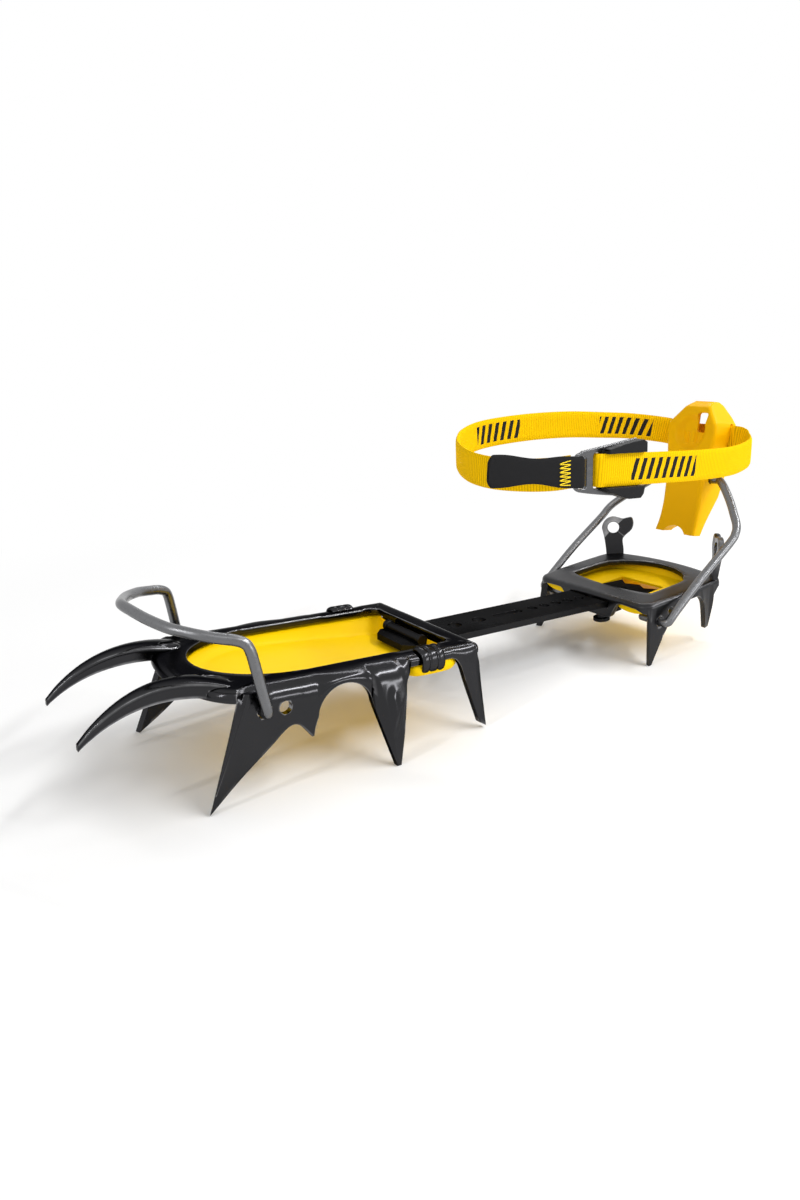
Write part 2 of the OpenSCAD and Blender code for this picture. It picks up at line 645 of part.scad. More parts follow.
// Heel bail: a wire from the heel points over the posts to the lever's pivot
heel_arm = [for (p = [[0, bail_half_w - 1.2, 0], [1.4, bail_half_w - 0.1, 1], [7, bail_half_w, 5],
    [24, bail_half_w, 17.8], [45, bail_half_w - 0.6, 33], [54, bail_half_w - 2.8, 40.2],
    [59.4, bail_half_w - 6.6, 48.2], [63.6, bail_half_w - 13.6, pivot_z - heel_hole.z - 5.6],
    [pivot_x - 1.8, bail_half_w - 20, pivot_z - heel_hole.z - 1.2]]) heel_hole + p];
pivot_play = 0.3;

module heel_bail() {
    ends = concat(heel_arm, [pivot + [0, lever_w/2 + 1.6, 0], pivot + [0, lever_w/2 - 1, 0]]);
    color("#8d9196") whole() {
        both_sides() {
            wire(spline(ends, 4), wire_d, [0.5, 0, -0.8]);
            bail_pin(heel_hole, heel_half_w - 2*pin_in, bail_half_w);
        }
        translate(pivot) rotate([90, 0, 0]) cylinder(d = wire_d + 0.3, h = lever_w - 1, center = true);
    }
}

// Heel lever: a moulded shell, open behind, with a jaw below and a scoop above
jaw_notch_r = 9;
slot_place = [lever_back - 5, 0, strap_up];

module lever_side() {
    polygon([[lever_front + 1.5, -lever_down], [lever_front, -lever_down + 7], [lever_front, lever_up - 12],
        [lever_front + 3, lever_up - 3], [lever_front + 8, lever_up], [lever_back - 3, lever_up - 1],
        [lever_back, lever_up - 8], [lever_back, 0], [lever_back - 2, -10], [lever_front + 5, -lever_down]]);
}

module lever_face() {
    half = lever_w/2;
    polygon([[-half + 1, -lever_down], [half - 1, -lever_down], [half - 0.6, -12], [half - 1.4, 4], [half, lever_up - 16],
        [half - 1, lever_up - 11], [half - 8, lever_up], [8 - half, lever_up], [1 - half, lever_up - 11],
        [-half, lever_up - 16], [1.4 - half, 4], [0.6 - half, -12]]);
}

module lever_pocket() {
    inside = lever_w - 2*lever_wall - 2;
    translate([lever_front + lever_wall + 1, -inside/2, -14]) cube([lever_back + 20, inside, lever_up + 8]);
}

module heel_lever() {
    color("#f7b900") lever_place() difference() {
        intersection() {
            translate([0, lever_w, 0]) rotate([90, 0, 0]) linear_extrude(2*lever_w) lever_side();
            translate([-2*lever_back, 0, 0]) rotate([90, 0, 90]) linear_extrude(4*lever_back) lever_face();
        }
        lever_pocket();
        rotate([90, 0, 0]) cylinder(d = wire_d + 0.3 + 2*pivot_play, h = 2*lever_w, center = true);
        rotate([90, 0, 90]) translate([0, -lever_down - 5, -20]) cylinder(r = jaw_notch_r, h = 40);
        translate([lever_front - 15, 0, lever_up - 16]) rotate([0, 12, 0]) sphere(r = 17.5, $fn = 64);
        translate([lever_front, -10, lever_up - 14]) cube([10, 8, 8]);
        translate(slot_place) cube([web_t + 2*run_gap, 2*lever_w, web_w + 2*run_gap], center = true);
    }
}

// Ankle strap: one webbing through the lever's slots, in three lengths that meet there
strap_exit = pivot + [slot_place.x*cos(lever_lean) + slot_place.z*sin(lever_lean), 0,
    slot_place.z*cos(lever_lean) - slot_place.x*sin(lever_lean)];
strap_edge = lever_w/2 + run_gap;

function even(path, w) = [for (p = path) w];

module strap_lever_section() {
    color("#f2b400") lever_place() translate(slot_place) cube([web_t, lever_w, web_w], center = true);
}

buckle_y = -46;
short_path = concat([for (d = [0, 1.5]) strap_exit - [0, strap_edge + d, 0]], [strap_exit + [1.6, -strap_edge - 5, -0.2]],
    [strap_exit + [1, -strap_edge - 11, -0.6]],
    [for (p = [[282, -39, 102.5], [266, -44, 101], [246, -46.6, 100], [222, -48, 100.4], [196, -48.4, 101],
        [174, -48.3, 101.6], [165.6, -47.9, 101.9], [163.4, -46, 102], [165.6, -44.1, 102], [173, -43.7, 101.9]]) p]);

module strap_short_strand() {
    path = spline(short_path, 4);
    color("#f2b400") whole() webbing(path, even(path, web_w), web_t);
}

long_path = concat([for (d = [0, 1.5]) strap_exit + [0, strap_edge + d, 0]], [strap_exit + [1.4, strap_edge + 5, 0.3]],
    [strap_exit + [-0.6, strap_edge + 11, 0.8]],
    [for (p = [[276, 39, 105], [256, 43, 107], [230, 45.5, 109], [200, 45.8, 110.4], [170, 43, 111.8], [145, 34, 112.8],
        [129, 18, 113.4], [124, 0, 113.2], [127, -18, 112], [135, -32, 109.6], [142, -39.6, 106.2], [147, -42.3, 104.5],
        [150, -43.1, 104]]) p]);

module strap_long_strand() {
    path = spline(long_path, 4);
    color("#f2b400") whole() webbing(path, even(path, web_w), web_t);
}

tail_path = [[150.6, -43.2, 103.9], [154.5, -43.7, 103.4], [158.3, -43.9, 103.2], [159.7, -46, 103.2], [158.3, -48.1, 103.2],
    [153, -48.8, 103.5], [140, -49.2, 104.8], [124, -49, 106.6], [110, -48.4, 108], [101, -47.8, 108.8]];
tail_waist = 0.2;

function tail_width(path) = [for (i = [0:len(path) - 1]) let (x = path[i].x)
    web_w*(1 - tail_waist*pow(max(0, sin(180*(x - 101)/49)), 2)) + (x < 108 ? 1 : 0)];

module strap_tail_tab() {
    path = spline(tail_path, 4);
    color("#1d1d20") whole() webbing(path, tail_width(path), web_t);
}

// Zigzag tack that closes the tail's fold
tack_x = 135;
tack_len = 10;
tack_t = 0.5;

module tail_bar_tack() {
    rows = 7;
    face = -49.2 - web_t/2 - 0.1;
    color("#f2d000") whole() for (i = [0:rows - 1])
        translate([tack_x, face, 104.4 - 4.2 + i*1.4]) rotate([90, 0, 0])
            linear_extrude(tack_t) polygon([[0, 0], [tack_len, -1.1], [tack_len, -0.5], [0, 0.6]]);
}

// Buckle: a tapered steel frame with a black cam behind the webbing
buckle_t = 1.6;
buckle_x = [151, 193];

module buckle_frame() {
    color("#c3c6c9") whole() translate([0, buckle_y + buckle_t/2, 102]) rotate([90, 0, 0]) linear_extrude(buckle_t)
        difference() {
            polygon([[buckle_x[0], -8.4], [buckle_x[0] + 2, -10.4], [buckle_x[1] - 16, -13], [buckle_x[1] - 16, 13],
                [buckle_x[0] + 2, 10.4], [buckle_x[0], 8.4]]);
            translate([161.8, 0.8]) square([6.8, web_w + 2.8], center = true);
            translate([171, 0]) square([4, web_w - 2], center = true);
        }
}

cam_wall = 2.2;

module buckle_cam() {
    color("#1d1d20") whole() translate([0, buckle_y - 3.6, 101.4]) rotate([-90, 0, 0]) difference() {
        linear_extrude(7) polygon([[175, -14], [buckle_x[1] - 2, -14.6], [buckle_x[1], -12], [buckle_x[1], 11],
            [buckle_x[1] - 2, 13], [175, 12]]);
        translate([170, -web_w/2 - 0.8, -1]) cube([30, web_w + 1.6, 7.4 - cam_wall]);
        translate([170, -20, 2.5]) cube([9, 40, 2.4]);
    }
}

front_frame();
front_antisnow_plate();
plate_clip_left();
plate_clip_right();
toe_bail();
link_bar();
heel_frame();
heel_antisnow_plate();
lock_bracket();
lock_rivets();
lock_pin();
heel_bail();
heel_lever();
strap_lever_section();
strap_short_strand();
strap_long_strand();
strap_tail_tab();
tail_bar_tack();
buckle_frame();
buckle_cam();
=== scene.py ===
"""The looks of an automatic crampon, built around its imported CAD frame."""
import json
import math

import bmesh
import bpy
import numpy as np
from bpy.props import FloatProperty, FloatVectorProperty, IntProperty, PointerProperty
from mathutils import Matrix


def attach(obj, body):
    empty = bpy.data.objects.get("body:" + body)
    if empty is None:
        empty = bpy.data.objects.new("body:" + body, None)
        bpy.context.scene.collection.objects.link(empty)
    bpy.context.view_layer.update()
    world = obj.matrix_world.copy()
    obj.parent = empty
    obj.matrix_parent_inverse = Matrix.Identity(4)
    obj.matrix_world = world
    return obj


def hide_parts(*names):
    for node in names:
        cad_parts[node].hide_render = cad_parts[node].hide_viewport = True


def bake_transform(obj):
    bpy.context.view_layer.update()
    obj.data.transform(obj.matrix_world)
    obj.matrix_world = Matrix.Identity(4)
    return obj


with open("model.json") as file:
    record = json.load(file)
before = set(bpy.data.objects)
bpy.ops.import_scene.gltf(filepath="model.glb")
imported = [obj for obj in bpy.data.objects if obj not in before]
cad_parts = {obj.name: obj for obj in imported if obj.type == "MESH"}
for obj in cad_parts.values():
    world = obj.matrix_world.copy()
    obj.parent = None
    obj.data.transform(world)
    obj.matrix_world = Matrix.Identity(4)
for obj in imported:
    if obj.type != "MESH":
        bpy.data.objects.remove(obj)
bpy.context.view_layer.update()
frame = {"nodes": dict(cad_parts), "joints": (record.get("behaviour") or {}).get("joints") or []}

bl_info = {
    "name": "Automatic crampon",
    "version": (1, 0, 0),
    "blender": (4, 5, 0),
    "location": "3D View > Sidebar > Crampon",
    "description": "Dresses the packed crampon with its pressed frames, wires, mouldings and webbing",
    "category": "Add Mesh",
}

MM = 0.001
UP = np.array([0.0, 0.0, 1.0])
MIRROR = np.array([1.0, -1.0, 1.0])

# Lengths along the crampon are counted in millimetres from the toe bail hole
FRONT_TOP, FRONT_TILT = 42.3, math.radians(3.4)
TOE_HOLE_DROP, SPARE_HOLE_STEP = 9.0, 8.7
HEEL_X, HEEL_TOP, HEEL_PITCH = 204.3, 30.7, math.radians(4.5)
HEEL_HOLE = (8.6, -10.0)
HOLE_R = 2.6
BAR_SLOPE = math.radians(1.91)
BAR_IN_HEEL = (1.5, 0, -4.9)
JOINT_AT = {j["name"]: np.array(j.get("pos_m", (0, 0, 0)), float) / MM for j in frame["joints"]}
MIDDLE = np.array([-TOE_HOLE_DROP * math.sin(FRONT_TILT) - JOINT_AT["toe_bail_swing"][0], 0.0, 0.0])
PIVOT = JOINT_AT["lever_flip"] + MIDDLE
LEVER_LEAN = math.radians(8)
ACROSS = 60.0
SHEET_EDGE = 0.45
STATION_STEP = 1.0
# Sharp convex edges of the paint take a lighter steel tone: painted highlight lines along the edges, partly
# worn paint. The reach is the largest face size, in millimetres, round such an edge
WEAR_HIGHLIGHT_REACH = 2.0
RUBBED_HIGHLIGHT = (0.42, 0.42, 0.43)


def length_prop(label, about, value):
    """A length among the settings."""
    return FloatProperty(name=label, description=about, default=value, unit="LENGTH")


def colour_prop(label, about, value):
    """A colour among the settings."""
    return FloatVectorProperty(name=label, description=about, subtype="COLOR", default=value)


class CramponSizes(bpy.types.PropertyGroup):
    """Sizes that can be changed without another pack."""
    sheet: length_prop("Sheet", "Thickness of the pressed steel", 0.003)
    wire: length_prop("Wire", "Diameter of the bail wire", 0.0042)
    web_width: length_prop("Webbing width", "Width of the ankle webbing", 0.0144)
    web_thick: length_prop("Webbing thickness", "Thickness of the ankle webbing", 0.0015)
    rib_pitch: length_prop("Rib pitch", "Distance between two cross ribs of the webbing", 0.00125)
    bend_steps: IntProperty(
        name="Bend steps", description="Faces round each bend of the pressed sheet", default=9, min=3, max=24)


class CramponColours(bpy.types.PropertyGroup):
    """Colours of the finishes."""
    gloss_black: colour_prop("Front frame", "Gloss paint of the front frame", (0.034, 0.034, 0.036))
    satin_grey: colour_prop("Heel frame", "Satin paint of the heel frame", (0.036, 0.036, 0.038))
    bar_black: colour_prop("Link bar", "Matt finish of the link bar", (0.024, 0.024, 0.025))
    wire_grey: colour_prop("Wire", "Stainless wire of the bails", (0.17, 0.172, 0.178))
    plate_yellow: colour_prop("Plates", "Moulded anti-snow plates", (0.98, 0.62, 0.001))
    lever_yellow: colour_prop("Lever", "Moulded heel lever", (0.94, 0.50, 0.001))
    webbing_yellow: colour_prop("Webbing", "Ankle webbing", (0.95, 0.57, 0.001))
    soft_black: colour_prop("Black parts", "Tab, cam and clips", (0.018, 0.018, 0.019))
    thread_yellow: colour_prop("Thread", "Sewing thread of the tack", (0.90, 0.66, 0.03))


def sizes():
    """The sizes of the scene, in millimetres."""
    group = bpy.context.scene.crampon_sizes
    return {n: getattr(group, n) / MM for n in ("sheet", "wire", "web_width", "web_thick", "rib_pitch")}


# Curves and grids


def cols(*values):
    """Numbers and arrays side by side as the columns of one array."""
    return np.stack(np.broadcast_arrays(*values), -1)


def spans(path):
    """The distance from each row to the next."""
    return np.linalg.norm(np.diff(path, axis=0), axis=1)


def unit(v):
    """Each row divided by its length."""
    return v / np.linalg.norm(v, axis=-1, keepdims=True)


def ease(x, low, high):
    """A smooth step from 0 at low to 1 at high."""
    t = np.clip((x - low) / (high - low), 0, 1)
    return t * t * (3 - 2 * t)


def spline(points, per):
    """Catmull-Rom curve through the rows, with per steps in each span."""
    p = np.asarray(points, float)
    ends = np.vstack([p[:1], p, p[-1:]])
    a, b, c, d = ends[:-3], ends[1:-2], ends[2:-1], ends[3:]
    t = (np.arange(per) / per)[:, None, None]
    q = 0.5 * (2 * b + (c - a) * t + (2 * a - 5 * b + 4 * c - d) * t**2 + (3 * b - a - 3 * c + d) * t**3)
    return np.vstack([q.transpose(1, 0, 2).reshape(-1, p.shape[1]), p[-1:]])


def evened(path, step):
    """The path at equal steps of its own length, and the length at each step."""
    run = np.r_[0, np.cumsum(spans(path[:, :3]))]
    at = np.linspace(0, run[-1], max(3, int(round(run[-1] / step)) + 1))
    return np.stack([np.interp(at, run, path[:, k]) for k in range(path.shape[1])], 1), at


def sweep(path, side, profile):
    """A profile carried along a path: each point is the path plus u and v shares of the profile, where u is
    the side direction made square to the path and v is square to both."""
    t = unit(np.gradient(path, axis=0))
    u = unit(side - t * (t @ side)[:, None])
    v = np.cross(t, u)
    return path[:, None, :] + profile[..., 0:1] * u[:, None, :] + profile[..., 1:2] * v[:, None, :]


def ring(count, rx, ry):
    """An ellipse as a profile."""
    a = np.linspace(0, 2 * math.pi, count, endpoint=False)
    return cols(rx * np.cos(a), ry * np.sin(a))


def round_box(w, h, r, per=5):
    """A rounded rectangle as a profile: four quarter circles round the corners."""
    a = np.linspace(0, math.pi / 2, per)
    turn = np.concatenate([a + k * math.pi / 2 for k in range(4)])
    sx = np.repeat([1, -1, -1, 1], per) * (w / 2 - r)
    sy = np.repeat([1, 1, -1, -1], per) * (h / 2 - r)
    return cols(sx + r * np.cos(turn), sy + r * np.sin(turn))


def shell(grid, wrap_n=False):
    """A closed surface from a grid of rings: quads between the rings, and a cap on each end."""
    n, m = grid.shape[:2]
    i = np.arange(n if wrap_n else n - 1)[:, None]
    j = np.arange(m)[None, :]
    h, k = (i + 1) % n, (j + 1) % m
    quads = cols(i * m + j, h * m + j, h * m + k, i * m + k).reshape(-1, 4).tolist()
    if not wrap_n:
        quads += [list(range(m)), list(range((n - 1) * m, n * m))]
    return grid.reshape(-1, 3), quads


def plate(outline, low, high, axis, edge=0.0):
    """A flat outline carried along an axis from low to high, its rim eased by edge: rings at both faces."""
    mid = outline.mean(0)
    small = mid + (outline - mid) * (1 - edge / np.abs(outline - mid).max(0))
    stack = [(small, low), (outline, low + edge), (outline, high - edge), (small, high)] if edge else [
        (outline, low), (outline, high)]
    free = [k for k in range(3) if k != axis]
    grid = np.zeros((len(stack), len(outline), 3))
    for row, (shape, at) in enumerate(stack):
        grid[row][:, free] = shape
        grid[row][:, axis] = at
    return grid


def ball(centre, radii, count=32):
    """An ellipsoid: rings of latitude, closed by caps near the poles."""
    a = np.linspace(0.04, math.pi - 0.04, count // 2)[:, None]
    b = np.linspace(0, 2 * math.pi, count, endpoint=False)[None, :]
    return centre + radii * cols(np.sin(a) * np.cos(b), np.sin(a) * np.sin(b), np.cos(a))


def rod(start, end, r, count=32):
    """A round rod between two points."""
    start, end = np.asarray(start, float), np.asarray(end, float)
    way = unit(end - start)
    side = np.array([1.0, 0, 0]) if abs(way[0]) < 0.7 else UP
    return sweep(np.stack([start, end]), side, ring(count, r, r))


def cross_rod(x, z, r):
    """A rod right across the crampon, which bores both sides at once."""
    return rod((x, -ACROSS, z), (x, ACROSS, z), r)


def level(points):
    """Flat points given a height of nought."""
    return np.pad(np.asarray(points, float), ((0, 0), (0, 1)))


# Places


def tilt(p, angle):
    """Points turned about the cross direction: x takes up z by the sine, and z gives up x by it."""
    c, s = math.cos(angle), math.sin(angle)
    return cols(p[..., 0] * c + p[..., 2] * s, p[..., 1], p[..., 2] * c - p[..., 0] * s)


def front_pt(p):
    """From the front frame's own directions to the crampon's."""
    return tilt(p, FRONT_TILT) + FRONT_TOP * UP


def front_local(x, y, z):
    """From the crampon's directions to the front frame's own."""
    return tilt(np.array([x, y, z - FRONT_TOP]), -FRONT_TILT)


def heel_pt(p):
    """From the heel frame's own directions to the crampon's."""
    return tilt(p, -HEEL_PITCH) + [HEEL_X, 0, HEEL_TOP]


def heel_local(x, y, z):
    """From the crampon's directions to the heel frame's own."""
    return tilt(np.array([x - HEEL_X, y, z - HEEL_TOP]), HEEL_PITCH)


def lever_pt(p):
    """From the lever's own directions to the crampon's."""
    return PIVOT + tilt(p, LEVER_LEAN)


# Objects


def raw_object(name, parts):
    """One mesh object from surfaces in millimetres, with its faces turned outwards: each part is a grid of
    rings, or points with their faces."""
    verts, faces, base = [], [], 0
    for points, polys in (part if isinstance(part, tuple) else shell(part) for part in parts):
        verts.append((points - MIDDLE) * MM)
        faces += [[base + v for v in poly] for poly in polys]
        base += len(points)
    mesh = bpy.data.meshes.new(name)
    mesh.from_pydata(np.vstack(verts).tolist(), [], faces)
    bm = bmesh.new()
    bm.from_mesh(mesh)
    bmesh.ops.recalc_face_normals(bm, faces=bm.faces)
    bm.to_mesh(mesh)
    bm.free()
    obj = bpy.data.objects.new(name, mesh)
    bpy.context.scene.collection.objects.link(obj)
    return obj


def settle(obj):
    """The object's mesh with its modifiers applied."""
    graph = bpy.context.evaluated_depsgraph_get()
    made = obj.evaluated_get(graph)
    mesh = bpy.data.meshes.new_from_object(made, preserve_all_data_layers=True, depsgraph=graph)
    old = obj.data
    obj.modifiers.clear()
    obj.data = mesh
    bpy.data.meshes.remove(old)


def carve(obj, parts, operation="DIFFERENCE"):
    """Cut the closed surfaces out of the object, or join them to it."""
    tool = raw_object("tool", parts)
    cut = obj.modifiers.new("cut", "BOOLEAN")
    cut.operation, cut.solver, cut.object = operation, "EXACT", tool
    settle(obj)
    bpy.data.objects.remove(tool)
    if not obj.data.polygons:
        raise RuntimeError(obj.name + " came out empty")


def add_parts(obj, parts):
    """Add closed surfaces to the object's mesh."""
    extra = raw_object("extra", parts)
    bm = bmesh.new()
    bm.from_mesh(obj.data)
    bm.from_mesh(extra.data)
    bm.to_mesh(obj.data)
    bm.free()
    bpy.data.objects.remove(extra)


def soften(obj, degrees=34):
    """Smooth shading that breaks at edges sharper than the angle."""
    mesh = obj.data
    mesh.polygons.foreach_set("use_smooth", np.ones(len(mesh.polygons), bool))
    mesh.set_sharp_from_angle(angle=math.radians(degrees))


def read_all(items, name, kind, width=1):
    """One property of every item as an array."""
    values = np.zeros(len(items) * width, kind)
    items.foreach_get(name, values)
    return values.reshape(-1, width) if width > 1 else values


def mark_wear_highlight(obj):
    """Store how sharp and outward each corner is: the angle between two faces at an edge, 0 up to 20
    degrees and 1 from 55, kept where the edge is convex and the faces round it are small. Each point takes
    the most of its edges. The paint mixes in a lighter tone by this mark: painted highlight lines along the
    edges, partly worn paint."""
    mesh = obj.data
    owner = np.repeat(np.arange(len(mesh.polygons)), read_all(mesh.polygons, "loop_total", np.int32))
    corner = read_all(mesh.loops, "vertex_index", np.int32)
    place = read_all(mesh.vertices, "co", np.float32, 3)
    normal, centre = (read_all(mesh.polygons, name, np.float32, 3) for name in ("normal", "center"))
    size, reach, share = np.zeros(len(centre)), np.zeros(len(place)), np.zeros(len(place))
    np.maximum.at(size, owner, np.linalg.norm(place[corner] - centre[owner], axis=1))
    np.maximum.at(reach, corner, size[owner])
    edge = read_all(mesh.loops, "edge_index", np.int32)
    order = np.argsort(edge, kind="stable")
    edge, owner = edge[order], owner[order]
    pair = np.flatnonzero(edge[1:] == edge[:-1])
    a, b = owner[pair], owner[pair + 1]
    angle = np.degrees(np.arccos(np.clip((normal[a] * normal[b]).sum(1), -1, 1)))
    convex = ((centre[b] - centre[a]) * normal[a]).sum(1) < 0
    ends = read_all(mesh.edges, "vertices", np.int32, 2)[edge[pair]]
    np.maximum.at(share, ends.ravel(), np.repeat(ease(angle, 20, 55) * convex, 2))
    share *= reach < WEAR_HIGHLIGHT_REACH * MM
    # The wear attribute holds painted highlight lines along sharp edges as well as worn paint
    mesh.attributes.new("wear", "FLOAT", "POINT").data.foreach_set("value", share.astype(np.float32))


def ease_edges(obj, width, segments):
    """Round the sharp edges by a bevel."""
    edge = obj.modifiers.new("edge", "BEVEL")
    edge.width, edge.segments, edge.limit_method = width * MM, segments, "ANGLE"
    return edge


def dress(obj, finish, body, slot, *nodes, degrees=34):
    """Give a finished piece its shading, material, body and the nodes that it stands for. The slot is not
    used.
    """
    soften(obj, degrees)
    obj.data.materials.clear()
    obj.data.materials.append(finishes()[finish])
    if body:
        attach(obj, body)
    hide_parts(*nodes)


def dress_node(name, finish, edge):
    """Give a CAD node its material and eased edges."""
    obj = frame["nodes"][name]
    obj.data.materials.clear()
    obj.data.materials.append(finishes()[finish])
    weld = obj.modifiers.new("weld", "WELD")
    weld.merge_threshold = 1e-5
    ease_edges(obj, edge, 2).angle_limit = math.radians(40)


# Finishes


class Finish:
    """A Principled material under construction."""

    def __init__(self, name, roughness, metallic=0.0, specular=0.5, rim=1.0):
        self.material = bpy.data.materials.new(name)
        self.material.use_nodes = True
        self.nodes = self.material.node_tree.nodes
        self.links = self.material.node_tree.links
        self.shader = self.nodes["Principled BSDF"]
        values = {"Roughness": roughness, "Metallic": metallic, "Specular IOR Level": specular,
                  "Specular Tint": (rim, rim, rim, 1.0)}
        for socket, value in values.items():
            self.shader.inputs[socket].default_value = value

    def feed(self, socket, value):
        """Join another node's socket to this one, or set its value."""
        if isinstance(value, bpy.types.NodeSocket):
            self.links.new(value, socket)
        else:
            socket.default_value = value

    def add(self, kind, inputs=(), **settings):
        """A node with its settings and inputs, where an input is a value or another node's socket."""
        node = self.nodes.new(kind)
        for key, value in settings.items():
            setattr(node, key, value)
        for key, value in dict(inputs).items():
            self.feed(node.inputs[key], value)
        return node

    def noise(self, scale, stretch=(1, 1, 1), detail=4.0):
        """Noise on object coordinates; scale is per metre."""
        place = self.add("ShaderNodeMapping", {
            "Vector": self.add("ShaderNodeTexCoord").outputs["Object"], "Scale": stretch})
        made = self.add("ShaderNodeTexNoise", {
            "Vector": place.outputs[0], "Scale": scale, "Detail": detail, "Roughness": 0.55})
        return made.outputs["Fac"]

    def between(self, share, low, high, start=0.3, stop=0.7):
        """A number from low to high as the share goes from start to stop."""
        return self.add("ShaderNodeMapRange", {
            "Value": share, "From Min": start, "From Max": stop, "To Min": low, "To Max": high}).outputs[0]

    def mix(self, share, a, b):
        """Two colours or colour sockets mixed by a share."""
        node = self.nodes.new("ShaderNodeMix")
        node.data_type = "RGBA"
        self.links.new(share, node.inputs["Factor"])
        for socket, value in ((node.inputs[6], a), (node.inputs[7], b)):
            self.feed(socket, (*value, 1) if isinstance(value, tuple) else value)
        return node.outputs[2]

    def math(self, operation, a, b=0.0):
        """One arithmetic step."""
        node = self.nodes.new("ShaderNodeMath")
        node.operation = operation
        for socket, value in zip(node.inputs, (a, b)):
            self.feed(socket, value)
        return node.outputs[0]

    def bump(self, height, strength, distance):
        """Fine relief from a height."""
        node = self.add("ShaderNodeBump", {"Height": height, "Strength": strength, "Distance": distance})
        self.set("Normal", node.outputs[0])

    def set(self, socket, value):
        """Join a socket of the shader."""
        self.links.new(value, self.shader.inputs[socket])


def tone(colour, share):
    """A colour made lighter or darker."""
    return tuple(min(1.0, c * share) for c in colour)


def painted(name, colour, roughness, rim, wear):
    """Black lacquer on steel, as a dark mirror whose rim share holds the grazing reflection down: slow
    drifts of tone and gloss, fine orange peel, small worn specks, and a lighter tone along sharp edges in
    places: painted highlight lines, partly worn paint."""
    made = Finish(name, roughness, metallic=1.0, rim=rim)
    drift = made.noise(38)
    speck = made.noise(900, detail=6)
    worn = made.between(speck, 0.0, wear, 0.68, 0.82)
    # Edge mark: a lighter steel tone along sharp edges, painted highlight lines that are partly worn paint
    edge = made.add("ShaderNodeAttribute", attribute_name="wear").outputs["Fac"]
    rubbed_highlight = made.math("MULTIPLY", edge, made.between(made.noise(160), 0.15, 0.85))
    shade = made.mix(worn, made.mix(drift, tone(colour, 0.85), tone(colour, 1.2)), tone(colour, 4))
    made.set("Base Color", made.mix(rubbed_highlight, shade, RUBBED_HIGHLIGHT))
    made.set("Roughness", made.between(drift, roughness * 0.8, roughness * 1.3))
    made.bump(made.noise(420, detail=3), 0.02, 0.0004)
    return made.material


def steel(name, colour, roughness, stretch):
    """Drawn stainless steel: fine lines along the drawing direction in tone, gloss and relief."""
    made = Finish(name, roughness, metallic=1.0)
    lines = made.noise(700, stretch, detail=5)
    drift = made.noise(60)
    shade = made.mix(lines, tone(colour, 0.88), tone(colour, 1.12))
    made.set("Base Color", made.mix(made.between(drift, 0, 0.4), shade, tone(colour, 0.8)))
    made.set("Roughness", made.between(lines, roughness * 0.8, roughness * 1.3))
    made.bump(lines, 0.05, 0.0002)
    return made.material


def moulded(name, colour, roughness, grain):
    """Moulded plastic: a slow drift of tone, soft gloss and a fine leathery grain."""
    made = Finish(name, roughness, specular=0.06)
    drift = made.noise(24, detail=3)
    made.set("Base Color", made.mix(drift, tone(colour, 0.93), tone(colour, 1.05)))
    made.set("Roughness", made.between(drift, roughness * 0.85, roughness * 1.2))
    made.bump(made.noise(1400, detail=2), grain, 0.0003)
    return made.material


def woven(name, colour, dark, pitch, weave, bars):
    """Webbing on its own map, u in metres along and v from edge to edge: ribs across, darker in the
    troughs and lighter on the crests as painted shade and painted highlight, a fine twill, and plain
    slanted bars of dark yarn where the bars say (start and end along the length)."""
    made = Finish(name, 0.75, specular=0.04)
    calc = made.math
    both = made.add("ShaderNodeSeparateXYZ", {"Vector": made.add("ShaderNodeUVMap").outputs[0]})
    u, v = both.outputs[0], both.outputs[1]
    rib = calc("ABSOLUTE", calc("SINE", calc("MULTIPLY", u, math.pi / pitch)))
    twill = calc("SINE", calc("MULTIPLY", calc("ADD", u, calc("MULTIPLY", v, 0.015)), weave))
    # Painted shade in the troughs between the ribs and a painted highlight on their crests
    shade = made.mix(made.between(rib, 0, 1, 0.1, 0.7), tone(colour, 0.62), tone(colour, 1.06))
    shade = made.mix(made.between(made.noise(90), 0, 0.35), shade, tone(colour, 0.82))
    for start, stop in bars:
        inside = calc("MULTIPLY", calc("GREATER_THAN", u, start), calc("LESS_THAN", u, stop))
        slant = calc("ADD", u, calc("MULTIPLY", v, 0.004))
        stripe = calc("LESS_THAN", calc("FRACT", calc("DIVIDE", slant, 0.0052)), 0.5)
        band = calc("MULTIPLY", calc("GREATER_THAN", v, 0.17), calc("LESS_THAN", v, 0.83))
        shade = made.mix(calc("MULTIPLY", calc("MULTIPLY", inside, stripe), band), shade, dark)
    made.set("Base Color", shade)
    made.bump(calc("ADD", calc("MULTIPLY", twill, 0.3), made.noise(2600)), 0.35, 0.0002)
    return made.material


FINISHES = {}


def finishes():
    """All materials by name, made once."""
    if FINISHES:
        return FINISHES
    c = bpy.context.scene.crampon_colours
    pitch = bpy.context.scene.crampon_sizes.rib_pitch
    ink = tone(c.soft_black, 1.1)
    FINISHES.update(
        gloss=painted("gloss_paint", c.gloss_black, 0.16, 0.36, 0.2),
        satin=painted("satin_paint", c.satin_grey, 0.3, 0.8, 0.5),
        bar=painted("bar_finish", c.bar_black, 0.38, 0.36, 0.5),
        wire=steel("wire_steel", c.wire_grey, 0.3, (1, 1, 1)),
        buckle=steel("buckle_steel", tone(c.wire_grey, 0.8), 0.22, (0.2, 1, 1)),
        plate=moulded("plate_moulding", c.plate_yellow, 0.4, 0.08),
        lever=moulded("lever_moulding", c.lever_yellow, 0.38, 0.08),
        black=moulded("black_moulding", c.soft_black, 0.36, 0.2),
        web_long=woven("webbing_long", c.webbing_yellow, ink, pitch, 4200, ((0.02, 0.055), (0.112, 0.145))),
        web_short=woven("webbing_short", c.webbing_yellow, ink, pitch, 4200, ((0.082, 0.126),)),
        tab=woven("tab_tape", c.soft_black, ink, pitch * 0.45, 9000, ()),
        thread=moulded("tack_thread", c.thread_yellow, 0.6, 0.3))
    return FINISHES


# Pressed frames


